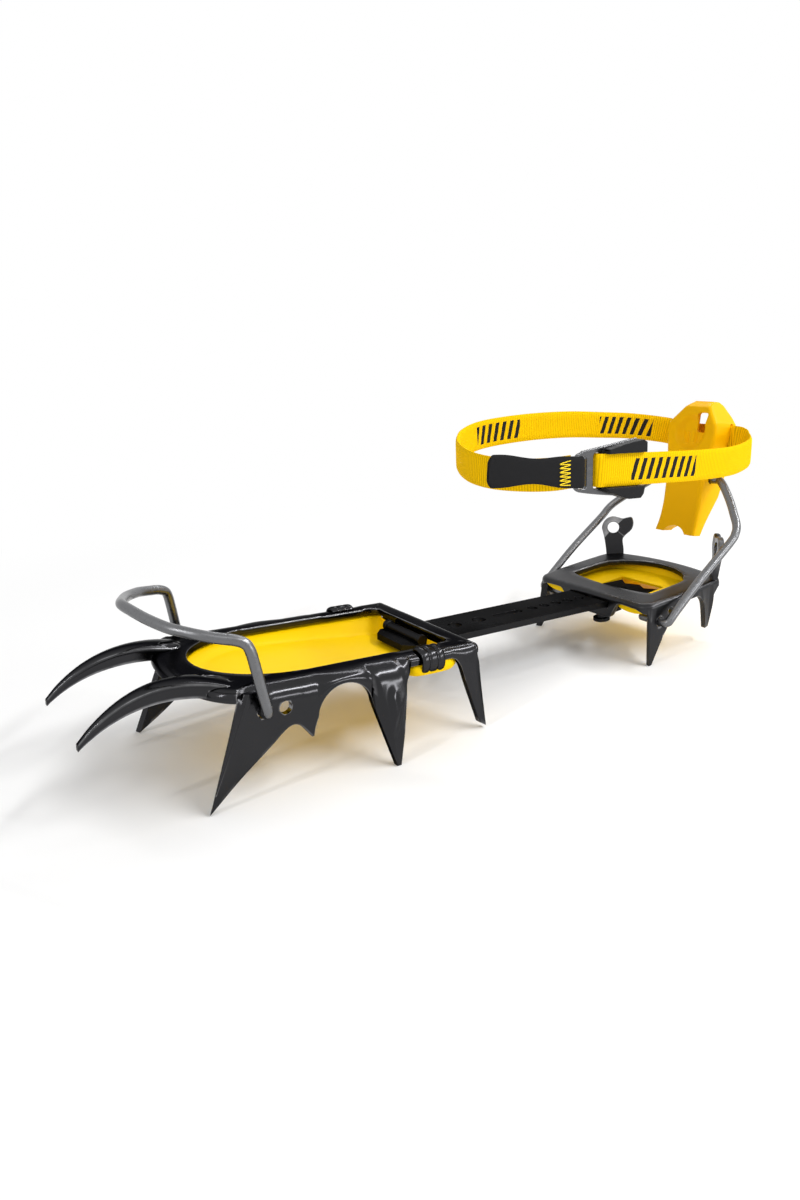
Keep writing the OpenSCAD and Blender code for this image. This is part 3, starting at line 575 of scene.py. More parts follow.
def pressed(inner, corner, inward, low, radius, bead=None):
    """Bent sheet: each station runs from the opening's edge, flat, round a bend to a turned-down wall, and
    back along the sheet's other face. The bend is a parabola between the flat and the wall, and the way
    through the sheet turns with it. A bead pushes the wall outwards."""
    t, e = sizes()["sheet"], SHEET_EDGE
    drop = low - corner
    depth = np.linalg.norm(drop, axis=1, keepdims=True)
    down = drop / depth
    start = corner + inward * np.maximum(radius, t + 1)[:, None]
    stop = corner + down * np.minimum(radius[:, None], 0.7 * depth)
    flat = np.linspace(0, 1, 5)[:-1][None, :, None]
    bend = np.linspace(0, 1, bpy.context.scene.crampon_sizes.bend_steps + 1)[None, :, None]
    wall = np.linspace(0, 1, 16)[1:][None, :, None]
    rim = unit(inner - start)
    a = (inner - rim * e)[:, None]
    b, c, d = start[:, None], corner[:, None], stop[:, None]
    skin = np.concatenate([
        a + (b - a) * flat, (1 - bend)**2 * b + 2 * bend * (1 - bend) * c + bend**2 * d,
        d + ((low - down * e)[:, None] - d) * wall], 1)
    turn = np.concatenate([0 * flat, bend, 0 * wall + 1], 1) * math.pi / 2
    into = np.sin(turn) * inward[:, None] - np.cos(turn) * UP
    if bead is not None:
        push = np.concatenate([np.zeros((len(low), flat.shape[1] + bend.shape[1])), bead(wall[0, :, 0])], 1)
        skin = skin - into * push[..., None]
    back = (skin + t * into)[:, ::-1]
    far = low + t * inward
    foot = np.stack([low + 0.3 * e * (inward - down), low + e * inward, far - e * inward,
                     far - 0.3 * e * (inward + down)], 1)
    under = inner - t * UP
    lip = np.stack([under + 0.3 * e * (UP - rim), under + e * UP, inner - e * UP,
                    inner - 0.3 * e * (UP + rim)], 1)
    return np.concatenate([skin, foot, back, lip], 1)


def whole_ring(half):
    """The stations of one side, then the same mirrored, as one closed run."""
    full = []
    for k, values in enumerate(half):
        back = values[-2:0:-1]
        full.append(np.concatenate([values, back if k == 4 else back * MIRROR]))
    return full


def stations(pieces):
    """Runs of stations end to end, filled in so that no two lie further apart than the step at the corner."""
    merged = [np.concatenate([p[k] for p in pieces]) for k in range(5)]
    keep = np.r_[True, np.maximum(spans(merged[1]), spans(merged[0])) + spans(merged[3]) > 1e-4]
    merged = [m[keep] for m in merged]
    gap = np.maximum(spans(merged[1]), spans(merged[0]))
    count = np.maximum(1, np.ceil(gap / STATION_STEP)).astype(int)
    at = np.concatenate([i + np.arange(n) / n for i, n in enumerate(count)] + [[len(gap)]])
    index = np.arange(len(gap) + 1)
    fill = [np.stack([np.interp(at, index, m[:, k]) for k in range(3)], 1) for m in merged[:4]]
    fill[2] = unit(fill[2])
    return fill + [np.interp(at, index, merged[4])]


OPEN_MID, OPEN_NOSE, OPEN_HALF = 24.0, 12.0, 31.0
NOSE_MID, NOSE_HALF, NOSE_REACH, NOSE_TURN = -6.0, 42.0, 24.0, 78.0
RAIL_HALF, FRONT_REAR, CROSSBAR = 40.5, 102.0, 9.5
LIP, BEND_R, LIP_R, ROLL_R = 4.6, 8.0, 4.2, 6.0
OPEN_REAR = FRONT_REAR - CROSSBAR
THIRD_X, FOURTH_X = 49.8, 97.0
CORNER_R, OPEN_CORNER_R = 3.0, 4.5
LEG_X, ROLL_END = -6.5, 85.0
CLIP_X, CLIP_HALF = 76.5, 5.6
SECOND_TIP = front_local(-26, 45, 0.2)

# Round boxes by width, height and corner radius
FRONT_WALL, BAR_WINDOW, HEEL_WINDOW = (50, 13.7, 2.4), (31, 6.8, 0.9), (28, 4.2, 0.6)


def open_edge(a, grow=0.0):
    """The leaf-shaped opening's round end, grown by a margin, by angle in degrees."""
    a = np.radians(a)
    return cols(OPEN_MID - (OPEN_MID + OPEN_NOSE + grow) * np.cos(a), (OPEN_HALF + grow) * np.sin(a), 0.0)


def corner_arc(x, y, r, turn):
    """A round corner of radius r inside the point x, y."""
    return cols(x - r * (1 - np.sin(turn)), y - r * (1 - np.cos(turn)), 0.0)


def rail_rows(rows):
    """Stations of the front rail from rows of place and lower edge, and of bend radius where it differs."""
    rows = np.asarray(rows, float)
    x = rows[:, 0]
    corner = cols(x, np.interp(x, [LEG_X, -2, 4, 57.8, 66], [41.4, 42, 43, 43, RAIL_HALF]), 0.0)
    turned = open_edge(NOSE_TURN + 2 + (88 - NOSE_TURN) * (x - LEG_X) / (OPEN_MID - LEG_X))
    place = np.interp(x, [OPEN_MID, ROLL_END, FRONT_REAR - CORNER_R],
                      [OPEN_MID, ROLL_END, OPEN_REAR - OPEN_CORNER_R])
    straight = cols(place, OPEN_HALF, -0.4 * ease(x, 62, 66) * (1 - ease(x, 85, 88)))
    inner = np.where(x[:, None] < OPEN_MID, turned, straight)
    inward = unit(cols(np.interp(x, [LEG_X, 5], [0.5, 0]), -1.0, 0.0))
    radius = rows[:, 4] if rows.shape[1] > 4 else np.full(len(x), BEND_R)
    return inner, corner, inward, rows[:, 1:4], radius


def front_stations():
    """One side of the front frame, from the nose round to the middle of the crossbar."""
    a = np.linspace(0, NOSE_TURN, 24)
    r = np.radians(a)
    nose = cols(NOSE_MID - (NOSE_REACH + NOSE_MID) * np.cos(r), NOSE_HALF * np.sin(r), 0.0)
    way = unit(cols(np.cos(r) / (NOSE_REACH + NOSE_MID), -np.sin(r) / NOSE_HALF, 0.0))
    runs = [(open_edge(a), nose, way, nose - LIP * UP, 0 * a + LIP_R)]
    tip2, tip3, tip4 = SECOND_TIP, front_local(THIRD_X, 54, 0), front_local(FOURTH_X, 47, 1)
    leg = spline([(-5.5, *tip2), (0, -10.5, 43.1, -33.5), (5, 2, 43.2, -23.4), (8.5, 7.6, 43.2, -18.6),
                  (10.5, 10.4, 43.2, -16.9), (12.6, 12.8, 43.3, -16.7), (14.8, 15, 43.5, -18),
                  (16.8, 17, 43.9, -20.3), (18.4, 18.9, 44.2, -22.7)], 6)
    arc = np.radians(np.linspace(176, 8, 26))
    along = 34 + 12 * np.cos(arc)
    arch = cols(along, along, 43.8, -16.2 + 12 * np.sin(arc))
    rise = spline([(19.8, 19.7, 44.2, -22.7), (20.4, 20.3, 44, -20), (21, 21.1, 43.9, -17.6), arch[0]], 4)
    shoulder = (55, 56.5, 51.2, -27.5)
    fall = [(46.4, 46.2, 45.6, -17.5), (THIRD_X - 1, tip3[0] - 0.9, *tip3[1:]),
            (THIRD_X + 1, tip3[0] + 0.9, *tip3[1:]), shoulder]
    back = spline([(*shoulder, BEND_R), (58.6, 59.6, 47.6, -15, BEND_R), (61, 61.4, 45, -9.4, 7.5),
                   (63.3, 63.8, 43.2, -6.3, 7), (66, 66, RAIL_HALF, -LIP, ROLL_R)], 5)
    rail = [(x, x, RAIL_HALF, -LIP, ROLL_R) for x in (70, 76, 82, ROLL_END)]
    last = spline([(87, 87, RAIL_HALF, -LIP, 5), (88.4, 89.4, 40.9, -6, LIP_R),
                   (89.6, 91.4, 41.7, -10, LIP_R), (91, 93, 43, -16.5, LIP_R),
                   (93.5, tip4[0] - 1.8, tip4[1], tip4[2] + 2, LIP_R)], 5)
    heel = spline([(96.4, tip4[0] + 1.6, *tip4[1:], LIP_R), (97.6, 100.9, 43, -19, LIP_R),
                   (98.7, 100.9, RAIL_HALF + 0.5, -8.5, LIP_R)], 4)
    runs += [rail_rows(part) for part in (
        [(LEG_X, *tip2), (-5.5, *tip2)], leg, rise, arch, fall, back, rail, last, heel)]
    b = np.radians(np.linspace(15, 90, 16))
    corner = corner_arc(FRONT_REAR, RAIL_HALF, CORNER_R, b)
    hole = corner_arc(OPEN_REAR, OPEN_HALF, OPEN_CORNER_R, b)
    runs.append((hole, corner, cols(-np.sin(b), -np.cos(b), 0.0), corner - LIP * UP, 0 * b + LIP_R))
    y = np.array([22.0, 17.0, 0.0])
    edge = cols(FRONT_REAR, y, 0.0)
    low = edge - np.array([[4.4], [3.8], [3.8]]) * UP
    runs.append((edge - [CROSSBAR, 0, 0], edge, np.tile([-1.0, 0, 0], (3, 1)), low, 0 * y + LIP_R))
    return stations(runs)


def front_bead(corner, low):
    """A tapered bead down the middle of each third point: a bell across the wall that fades at both ends."""
    off = corner[:, :1] - (THIRD_X + 3.2)
    near = (np.abs(low[:, 1:2]) > 43.6) & (np.abs(off) < 9)

    def push(g):
        bell = np.exp(-((off * (1 - 0.75 * g)) / 1.5)**2)
        return near * bell * ease(g, 0.02, 0.2) * (1 - ease(g, 0.5, 0.68))
    return push


def leg_flange(side):
    """The second point's front flange: an L-shaped strip carried down the leg, from just inside the wall
    round a small bend and inwards. Both arms narrow towards the tip."""
    s = np.linspace(0.03, 0.84, 50)[:, None]
    top = np.array([LEG_X - 0.2, 41.7, 0.0])
    bend = top + (SECOND_TIP - top) * s
    back, deep = 0.7 + 5.0 * (0.84 - s), 0.5 + 7.4 * (0.84 - s)
    thick = np.minimum(2.4, 0.5 + 0.5 * deep)
    r = np.minimum(2.0, 0.42 * deep)
    a = np.linspace(-math.pi / 2, -math.pi, 8)
    out = np.concatenate([back + r, r + r * np.cos(a), 0 * s, thick, thick, np.maximum(back, thick) + r], 1)
    into = np.concatenate([0 * s + 0.45, r + r * np.sin(a) - 0.1, deep, deep, thick + 0.3 * r,
                           thick + 0.1], 1)
    grid = bend[:, None, :] + cols(out, -into, 0.0)
    return front_pt(grid * [1, side, 1])


def fang(side):
    """A front point: a channel section carried along a Bezier path. Its width and height fall towards the
    tip, its top is crowned with eased shoulders, and the hollow under it runs out before the tip."""
    t = np.linspace(0, 1, 60)[:, None]
    tip = front_local(-63.4, 25, 31.2)
    p = np.array([[-7.0, 27.5, -3.4], [-29, 22, 3.4], [-48, 25, -0.4], tip])
    mid = (1 - t)**3 * p[0] + 3 * (1 - t)**2 * t * p[1] + 3 * (1 - t) * t**2 * p[2] + t**3 * p[3]
    wide = (16 + (2.6 - 16) * t**0.85) / 2
    high = 5.2 + (2.4 - 5.2) * t**1.5 + 0.9 * np.sin(math.pi * t)
    a = np.linspace(0, math.pi / 2, 3)
    r = np.minimum(0.9, 0.4 * wide)
    climb = np.linspace(0, 1, 5)[None, 1:-1]
    first = -1 + (r / wide) * (1 - np.cos(a))
    crown = 1 - np.linspace(0.17, 1, 6)
    left = np.concatenate([0 * t - 1 + 0 * climb, first, first[:, -1:] * crown], 1)
    rise = np.concatenate([-0.5 + (1 - r / high) * climb, 0.5 - (r / high) * (1 - np.sin(a)),
                           0 * t + 0.5 + 0 * crown], 1)
    ridge = 0.16 * (1 - left**2) * (1 - ease(t, 0.9, 1.0))
    top = np.stack([np.concatenate([left, -left[:, -2::-1]], 1),
                    np.concatenate([rise + ridge, (rise + ridge)[:, -2::-1]], 1)], -1)
    wall = np.minimum(2.2 / wide, 0.62)
    hollow = -0.5 + 0.5 * (1 - ease(t, 0.55, 0.92))
    edge, foot = 0 * t + 1, 0 * t - 0.5
    under = np.stack([np.concatenate([edge, 1 - wall, 1 - wall, wall - 1, wall - 1, -edge], 1),
                      np.concatenate([foot, foot, hollow, hollow, foot, foot], 1)], -1)
    profile = np.concatenate([top, under], 1)
    grid = mid[:, None, :] + cols(0.0, profile[..., 0] * wide, profile[..., 1] * high)
    return front_pt(grid * [1, side, 1])


class CRAMPON_OT_front_frame(bpy.types.Operator):
    """Build the pressed front frame with its points"""
    bl_idname = "crampon.front_frame"
    bl_label = "Front frame"

    def execute(self, context):
        half = whole_ring(front_stations())
        body = raw_object("front_frame_pressing", [
            shell(front_pt(pressed(*half, bead=front_bead(half[1], half[3]))), wrap_n=True)])
        wall = plate(round_box(*FRONT_WALL), OPEN_REAR + 0.3, OPEN_REAR + 3.3, 0) + [0, 0, -7.45]
        grown = [g for s in (1, -1) for g in (fang(s), leg_flange(s))] + [front_pt(wall)]
        carve(body, grown, "UNION")
        holes = [cross_rod(x, -TOE_HOLE_DROP, HOLE_R) for x in (0, SPARE_HOLE_STEP)]
        window = plate(round_box(*BAR_WINDOW), OPEN_REAR - 9, OPEN_REAR + 7.5, 0) + [0, 0, -7.2]
        dimples = [ball((-13.4, y, 1.1), (5.2, 3.2, 1.9)) for y in (-22.5, 22.5)]
        carve(body, [front_pt(g) for g in holes + [window] + dimples])
        # Mark the sharp edges for painted highlight lines, partly worn paint
        mark_wear_highlight(body)
        dress(body, "gloss", "front_section", "black_paint", "front_frame")
        return {"FINISHED"}


HEEL_LEN, HEEL_HALF, HEEL_OPEN, HEEL_OPEN_FRONT = 64.0, 40.0, 28.0, 12.5
HEEL_CORNER_R, HEEL_REAR_R = 7.0, 9.0
HEEL_OPEN_REAR = HEEL_LEN - 8
TONGUE_HALF, TONGUE_H = 18.1, 12.3
POST_X, POST_H, POST_HALF = HEEL_LEN - 6.8, 21.2, 35.8
POST_TURN, POST_LEAN = math.radians(47), math.radians(9)
HEEL_BEND, POST_EYE_R = 2.6, 3.3


def heel_bow(x):
    """The heel frame's half width, which swells between its corners."""
    return HEEL_HALF + 0.9 * np.sin(math.pi * (x - HEEL_CORNER_R) / (HEEL_LEN - 2 * HEEL_CORNER_R))


def heel_side_rows(rows):
    """Stations of the heel frame's side from rows of place and lower edge."""
    rows = np.asarray(rows, float)
    x = rows[:, 0]
    hole = HEEL_OPEN * np.sqrt(1 - (np.maximum(0, x - 34) / (HEEL_LEN - 14))**2)
    place = np.interp(x, [HEEL_CORNER_R, HEEL_LEN - 10], [HEEL_OPEN_FRONT + 4.5, HEEL_OPEN_REAR - 10])
    return (cols(place, hole, 0.0), cols(x, heel_bow(x), 0.0), np.tile([0, -1.0, 0], (len(x), 1)),
            rows[:, 1:4], 0 * x + HEEL_BEND)


def heel_stations():
    """One side of the heel frame, from the middle of the front wall round to the middle of the rear."""
    w, h, k, n = TONGUE_HALF, TONGUE_H, HEEL_CORNER_R, HEEL_LEN
    rows = spline([(0, h), (w - 6, h), (w - 3, h - 1.2), (w - 1, h - 4.2), (w + 1.2, LIP), (w + 4, 2.9),
                   (HEEL_HALF - k, 3.2)], 5)
    y = rows[:, 0]
    edge = cols(HEEL_OPEN_FRONT + 3.5 * (0.7 * y / HEEL_OPEN)**2, 0.7 * y, 0.0)
    line = cols(0.0, y, 0.0)
    runs = [(edge, line, np.tile([1.0, 0, 0], (len(y), 1)), line - rows[:, 1:] * UP, 0 * y + HEEL_BEND)]
    tip, rear = heel_local(HEEL_X + 2, 42, 0), heel_local(HEEL_X + n - 10, 34, 7)
    r = np.radians([14, 26, 38, 50, 68.0])
    turn = cols(k * (1 - np.cos(r)), HEEL_HALF - k * (1 - np.sin(r)), 0.0)
    low = turn - (3.2 + 3 * np.sin(r))[:, None] * UP
    low[-1] = tip - [0.9, 0, 0]
    edge = cols(HEEL_OPEN_FRONT + 2 + 2.2 * np.sin(r), HEEL_OPEN - 4.4 + 4 * np.sin(r), 0.0)
    runs.append((edge, turn, cols(np.cos(r), -np.sin(r), 0.0), low, 0 * r + HEEL_BEND))
    side = [(k, tip[0] + 0.9, *tip[1:]), (k + 4, 9.5, 41.2, -19.5), (k + 5.2, 10, 41.1, -18.2),
            (k + 6, 10.8, 41.1, -17.8)]
    fillet = spline([side[-1], (k + 9.5, 16, 41, -12), (k + 12, 19.2, 40.8, -8), (k + 15, 22.6, 40.7, -5.6),
                     (25.5, 25.5, 40.8, -LIP)], 4)
    lip = [(x, x, heel_bow(x), -LIP) for x in (29, 33, n - 27)]
    drop = spline([lip[-1], (n - 25.5, n - 24, 40.2, -6.6), (n - 23.6, n - 20.5, 39.4, -12),
                   (n - 20.5, rear[0] - 1.4, rear[1] + 0.4, rear[2])], 4)
    lift = spline([(n - 17.5, rear[0] + 1.4, rear[1] - 0.4, rear[2]), (n - 16.5, n - 11.6, 37.4, -15),
                   (n - 15.5, n - 12.8, 39.2, -8.2)], 4)
    runs += [heel_side_rows(part) for part in (side, fillet, lip, drop, lift)]
    b = np.radians(np.linspace(18, 80, 8))
    y0 = HEEL_HALF - HEEL_REAR_R
    x0 = n - 0.004 * y0**2 - HEEL_REAR_R
    bend = cols(x0 + HEEL_REAR_R * np.sin(b), y0 + HEEL_REAR_R * np.cos(b), 0.0)
    edge = cols(HEEL_OPEN_REAR - 11 + 4 * np.sin(b), HEEL_OPEN - 4.5 - 3.5 * (1 - np.cos(b)), 0.0)
    runs.append((edge, bend, cols(-np.sin(b), -np.cos(b), 0.0), bend - LIP * UP, 0 * b + HEEL_BEND))
    y = np.linspace(y0, 0, 16)
    line = cols(n - 0.004 * y**2, y, 0.0)
    edge = cols(HEEL_OPEN_REAR - 0.006 * y**2, 0.62 * y, 0.0)
    runs.append((edge, line, unit(cols(-1.0, -0.008 * y, 0.0)), line - LIP * UP, 0 * y + HEEL_BEND))
    return stations(runs)


def post(side):
    """A rear post: a plate between the round hole and the post's outline, both taken at the same angles
    about the hole, with the rim eased: rings from the hole's wall over one face, round the rim and back
    over the other. The plate leans outwards and stands across the corner."""
    outline = spline([(4.6, -2.4), (5, 0), (4.9, 3), (4.6, 7.4), (6, 9.8), (9, 12.4), (10.4, 14.4),
                      (10.9, 17.4), (10, 20.2), (7.6, 20.2), (5, 19.7), (2.6, 20.4), (-0.6, POST_H),
                      (-3.8, 20.3), (-6.2, 17.8), (-7, 14.8), (-6.4, 11.4), (-5.7, 7.6), (-5.2, 3), (-5, 0),
                      (-4.6, -2.4), (0, -2.4), (4.6, -2.4)], 8)[:-1]
    centre = np.array([-0.6, 14.8])
    hole = centre + POST_EYE_R * unit(outline - centre)
    t, e = sizes()["sheet"], 0.6
    inset = centre + (outline - centre) * (1 - e / np.linalg.norm(outline - centre, axis=1, keepdims=True))
    bore = centre + (hole - centre) * 1.14
    rings = [(hole, e), (bore, 0), (inset, 0), (outline, e), (outline, t - e), (inset, t), (bore, t),
             (hole, t - e)]
    flat = np.stack([cols(s[:, 0], s[:, 1], at) for s, at in rings])
    c, s = math.cos(POST_LEAN), math.sin(POST_LEAN)
    across, up = flat[..., 1] * s - flat[..., 2] * c, flat[..., 1] * c + flat[..., 2] * s
    c, s = math.cos(POST_TURN), math.sin(POST_TURN)
    place = cols(POST_X + flat[..., 0] * c + across * s, POST_HALF - flat[..., 0] * s + across * c, up)
    return heel_pt(place * [1, side, 1])


class CRAMPON_OT_heel_frame(bpy.types.Operator):
    """Build the pressed heel frame with its points and posts"""
    bl_idname = "crampon.heel_frame"
    bl_label = "Heel frame"

    def execute(self, context):
        sheet = heel_pt(pressed(*whole_ring(heel_stations())))
        body = raw_object("heel_frame_pressing", [shell(sheet, wrap_n=True)])
        carve(body, [shell(post(side), wrap_n=True) for side in (1, -1)], "UNION")
        box = plate(round_box(*HEEL_WINDOW), -9, 9, 0)
        cuts = [cross_rod(*HEEL_HOLE, HOLE_R), cross_rod(16.4, -6.4, 1.9),
                tilt(box, HEEL_PITCH + BAR_SLOPE) + BAR_IN_HEEL]
        carve(body, [heel_pt(g) for g in cuts])
        # Mark the sharp edges for painted highlight lines, partly worn paint
        mark_wear_highlight(body)
        dress(body, "satin", "heel_section", "grey_paint", "heel_frame")
        return {"FINISHED"}


# Bails


WIRE_STEP, WIRE_END = 0.8, 0.6


def wire(path, side):
    """Round wire along a path, its ends eased: circles square to the path, drawn in at both ends."""
    d = sizes()["wire"]
    run, at = evened(path, WIRE_STEP)
    end = np.minimum(at, at[-1] - at)
    share = np.where(end < WIRE_END, 0.72 + 0.28 * end / WIRE_END, 1.0)
    return sweep(run, np.asarray(side, float), ring(24, d / 2, d / 2)[None] * share[:, None, None])


class CRAMPON_OT_bails(bpy.types.Operator):
    """Build the two bails of round wire"""
    bl_idname = "crampon.bails"
    bl_label = "Bails"

    def execute(self, context):
        hole = JOINT_AT["toe_bail_swing"] + MIDDLE
        leg = np.array([(0, 37, 0), (0, 41, 0), (0, 44.4, 0), (-0.1, 46.2, 0.9), (-0.35, 46.6, 3),
                        (-0.8, 46.3, 6), (-1.7, 45.6, 12.5), (-2.6, 45, 19), (-3.6, 44.4, 25),
                        (-5, 43.5, 28), (-8.4, 42.1, 29.7), (-12.5, 40, 30.6), (-18.2, 36, 32),
                        (-22.5, 31, 33), (-26.6, 25, 34), (-30.6, 15, 35.6), (-33.4, 6, 37.3),
                        (-34.5, 0, 38)])
        path = hole + spline(np.vstack([leg, leg[-2::-1] * MIRROR]), 12)
        toe = raw_object("toe_bail_wire", [wire(path, (0.9, 0, -0.3))])
        dress(toe, "wire", "toe_bail", "bail_steel", "toe_bail", degrees=60)
        hole = JOINT_AT["heel_bail_swing"] + MIDDLE
        reach, _, rise = PIVOT - hole
        arm = np.array([(0, 28, 0), (0, 36, 0), (0, 42.6, 0), (0.5, 45, 0.4), (2.4, 45.4, 2.2),
                        (7, 45.4, 6.2), (24, 45.4, 19.4), (44.7, 45, 33.6), (49.4, 44.4, 37.9),
                        (52.4, 42.4, 41.3), (55.8, 38, 45.4), (59.6, 33, 49.6), (63.2, 27.6, 53.8),
                        (66.2, 22.4, 57.6), (reach, 18, rise), (reach, 15.4, rise), (reach, 8, rise),
                        (reach, 0, rise)])
        path = hole + spline(np.vstack([arm, arm[-2::-1] * MIRROR]), 12)
        heel = raw_object("heel_bail_wire", [wire(path, (0.5, 0.01, -0.8))])
        dress(heel, "wire", "heel_bail", "bail_steel", "heel_bail", degrees=60)
        return {"FINISHED"}


BAR_PIN = JOINT_AT["bar_flex"] + MIDDLE
BAR_HALF, BAR_LEN, BAR_T, LOCK_AT, HOLE_PITCH = 13.6, 156.83, 3.0, 126.375, 8.0


def bar_pt(p):
    """From the link bar's own directions to the crampon's."""
    return BAR_PIN + tilt(p, BAR_SLOPE)


def bar_outline():
    """The link bar from above: the chamfered T-shaped head, the straight bar and the toothed end."""
    half = np.array([(-7, 10.4), (-2.6, 15), (3.6, 15), (4.6, 14.2), (5.2, BAR_HALF), (BAR_LEN, BAR_HALF),
                     (BAR_LEN - 5, BAR_HALF / 2), (BAR_LEN - 1, 0)])
    return np.concatenate([half, (half[:-1] * [1, -1])[::-1]])


def barrel():
    """The rolled edge on the link bar's head: circles along the head, wider at both ends."""
    y = np.array([-14.8, -12.4, -12.2, 12.2, 12.4, 14.8])[:, None]
    r = np.array([2.6, 2.6, 2.0, 2.0, 2.6, 2.6])[:, None]
    a = np.linspace(0, 2 * math.pi, 32, endpoint=False)
    return cols(1.4 + r * np.cos(a), y, 3.0 + r * np.sin(a))


def clip(side):
    """A plate clip: a band with two grooves, carried round the rail from the middle of its top over the
    outside to the underside."""
    way = spline([(34.6, -0.6), (35.6, 0.35), (37.4, 0.35), (40.2, -0.8), (41.3, -3.4), (41.2, -5.8),
                  (39.8, -7.2), (36, -7.5)], 6)
    run, _ = evened(cols(CLIP_X, *way.T), 0.5)
    u = np.linspace(-1, 1, 41)
    out = 1.5 - 0.4 * np.exp(-((np.abs(u) - 0.36) / 0.1)**2) - 0.8 * np.abs(u)**10
    band = np.concatenate([cols(u * CLIP_HALF, -out), cols(u * CLIP_HALF, 0.0)[::-1]])
    return front_pt(sweep(run, np.array([1.0, 0, 0]), band) * [1, side, 1])


class CRAMPON_OT_bar_and_lock(bpy.types.Operator):
    """Build the link bar and the plate clips, and finish the length lock"""
    bl_idname = "crampon.bar_and_lock"
    bl_label = "Link bar, clips and lock"

    def execute(self, context):
        strip = plate(bar_outline(), -BAR_T / 2, BAR_T / 2, 2)
        bar = raw_object("link_bar_strip", [bar_pt(strip)])
        carve(bar, [bar_pt(barrel())], "UNION")
        holes = [(k, 5.4) for k in range(-6, 3)] + [(k, 7.0) for k in (-10.25, -12.05)]
        holes = [(LOCK_AT + k * HOLE_PITCH, d / 2) for k, d in holes]
        cuts = [rod((x, 0, -9), (x, 0, 9), r) for x, r in holes]
        cuts.append(plate(round_box(18, 4.6, 2.25), -9, 9, 2) + [LOCK_AT - 8 * HOLE_PITCH, 0, 0])
        carve(bar, [bar_pt(g) for g in cuts])
        ease_edges(bar, 0.45, 2)
        dress(bar, "bar", "link_bar", "bar_black", "link_bar")
        for name in ("lock_bracket", "lock_rivets", "lock_pin"):
            dress_node(name, "bar", 0.25)
        for name, side in (("left", 1), ("right", -1)):
            band = raw_object("clip_band_" + name, [clip(side)])
            dress(band, "gloss", "front_section", "clip_black", "plate_clip_" + name, degrees=50)
        return {"FINISHED"}


# Anti-snow plates


def tray(rim, foot, thick, steps=10):
    """A dished tray: rings from the rim down an S-shaped wall to the floor's edge and on to its middle,
    above and then below."""
    t = np.linspace(0, 1, steps)[:, None, None]
    fall = ease(t, 0, 1)
    wall = rim + (foot - rim) * t
    wall[..., 2] = (rim + (foot - rim) * fall)[..., 2]
    mid = foot.mean(0)
    floor = foot + (mid - foot) * np.linspace(0, 0.97, steps)[1:, None, None]
    top = np.concatenate([wall, floor])
    return np.concatenate([top[::-1], top - thick * UP])


def front_leaf(grow, height):
    """The opening's outline grown by a margin; its height follows the place along and across the crampon."""
    half, x, e = OPEN_HALF + grow, OPEN_REAR - 1.4, 0.45 * grow + 1.6
    lead = open_edge(np.linspace(-90, 90, 61), grow)
    side = level(spline([(OPEN_MID + 4, half), (50, half), (66, half), (x - 5 + e, half),
                         (x - 0.6 + e, half - 1.6), (x + e, half - 5), (x + e / 2, half - 9),
                         (x + e / 4, half - 13)], 8))
    ring_line = np.concatenate([lead, side, (side * MIRROR)[::-1]])
    ring_line[:, 2] = height(ring_line[:, 0], np.abs(ring_line[:, 1]))
    return ring_line


HEEL_LEAF = level(spline([(4.6, 0), (4.6, 12), (4.8, 24), (5.6, 31), (9, 35.2), (16, 36.4), (30, 36.6),
                          (42, 35.4), (50, 31), (55, 21), (57, 10), (57.4, 0)], 6))
CHANNEL_BED = -7.2

# The heel tray's cut-outs for the bar and its lock, by width, start and end
TRAY_CUTS = ((39, -3, 20), (29.6, 12, 41))


def heel_dish():
    """The heel tray: outlines drawn in step by step to the middle, down a steep wall to a level floor."""
    ring_line = np.concatenate([HEEL_LEAF, (HEEL_LEAF[1:-1] * MIRROR)[::-1]])
    inset = np.concatenate([np.linspace(0, 0.1, 9), np.linspace(0.1, 0.98, 18)[1:]])[:, None, None]
    centre = np.array([30.0, 0, 0])
    top = ring_line + (centre - ring_line) * inset
    top[..., 2] = -3.2 - 3.2 * ease(inset[..., 0], 0, 0.08)
    return np.concatenate([top[::-1], top - 1.2 * UP])


def bar_channel():
    """The channel under the bar's end: a U-shaped section carried back along the heel, its bed a little
    below the bar's underside and its walls up to the tray's floor."""
    x = np.linspace(20.4, 56, 14)[:, None]
    bed = CHANNEL_BED - math.tan(HEEL_PITCH + BAR_SLOPE) * x
    across = np.array([-15.9, -15.9, 15.9, 15.9, 14.9, 14.9, -14.9, -14.9])
    deep = np.array([0, 1, 1, 0, 0, 1, 1, 0])
    under = np.array([0, 1, 1, 0, 0, 0, 0, 0])
    z = -6.8 * (1 - deep) + bed * deep - 1.0 * under
    return cols(x, across, z)


def arch_lens(side):
    """The tray's lip seen under a front arch: a lens shape with a flat top, a little behind the front
    wall."""
    y = np.linspace(15.5, 36.5, 22)
    swell = 1 - np.abs((y - 26) / 10.5)**2.4
    outline = np.concatenate([cols(y, -3.2), cols(y, -4.6 - 2.6 * swell)[::-1]])
    return plate(outline * [side, 1], 3.4, 4.8, 0)


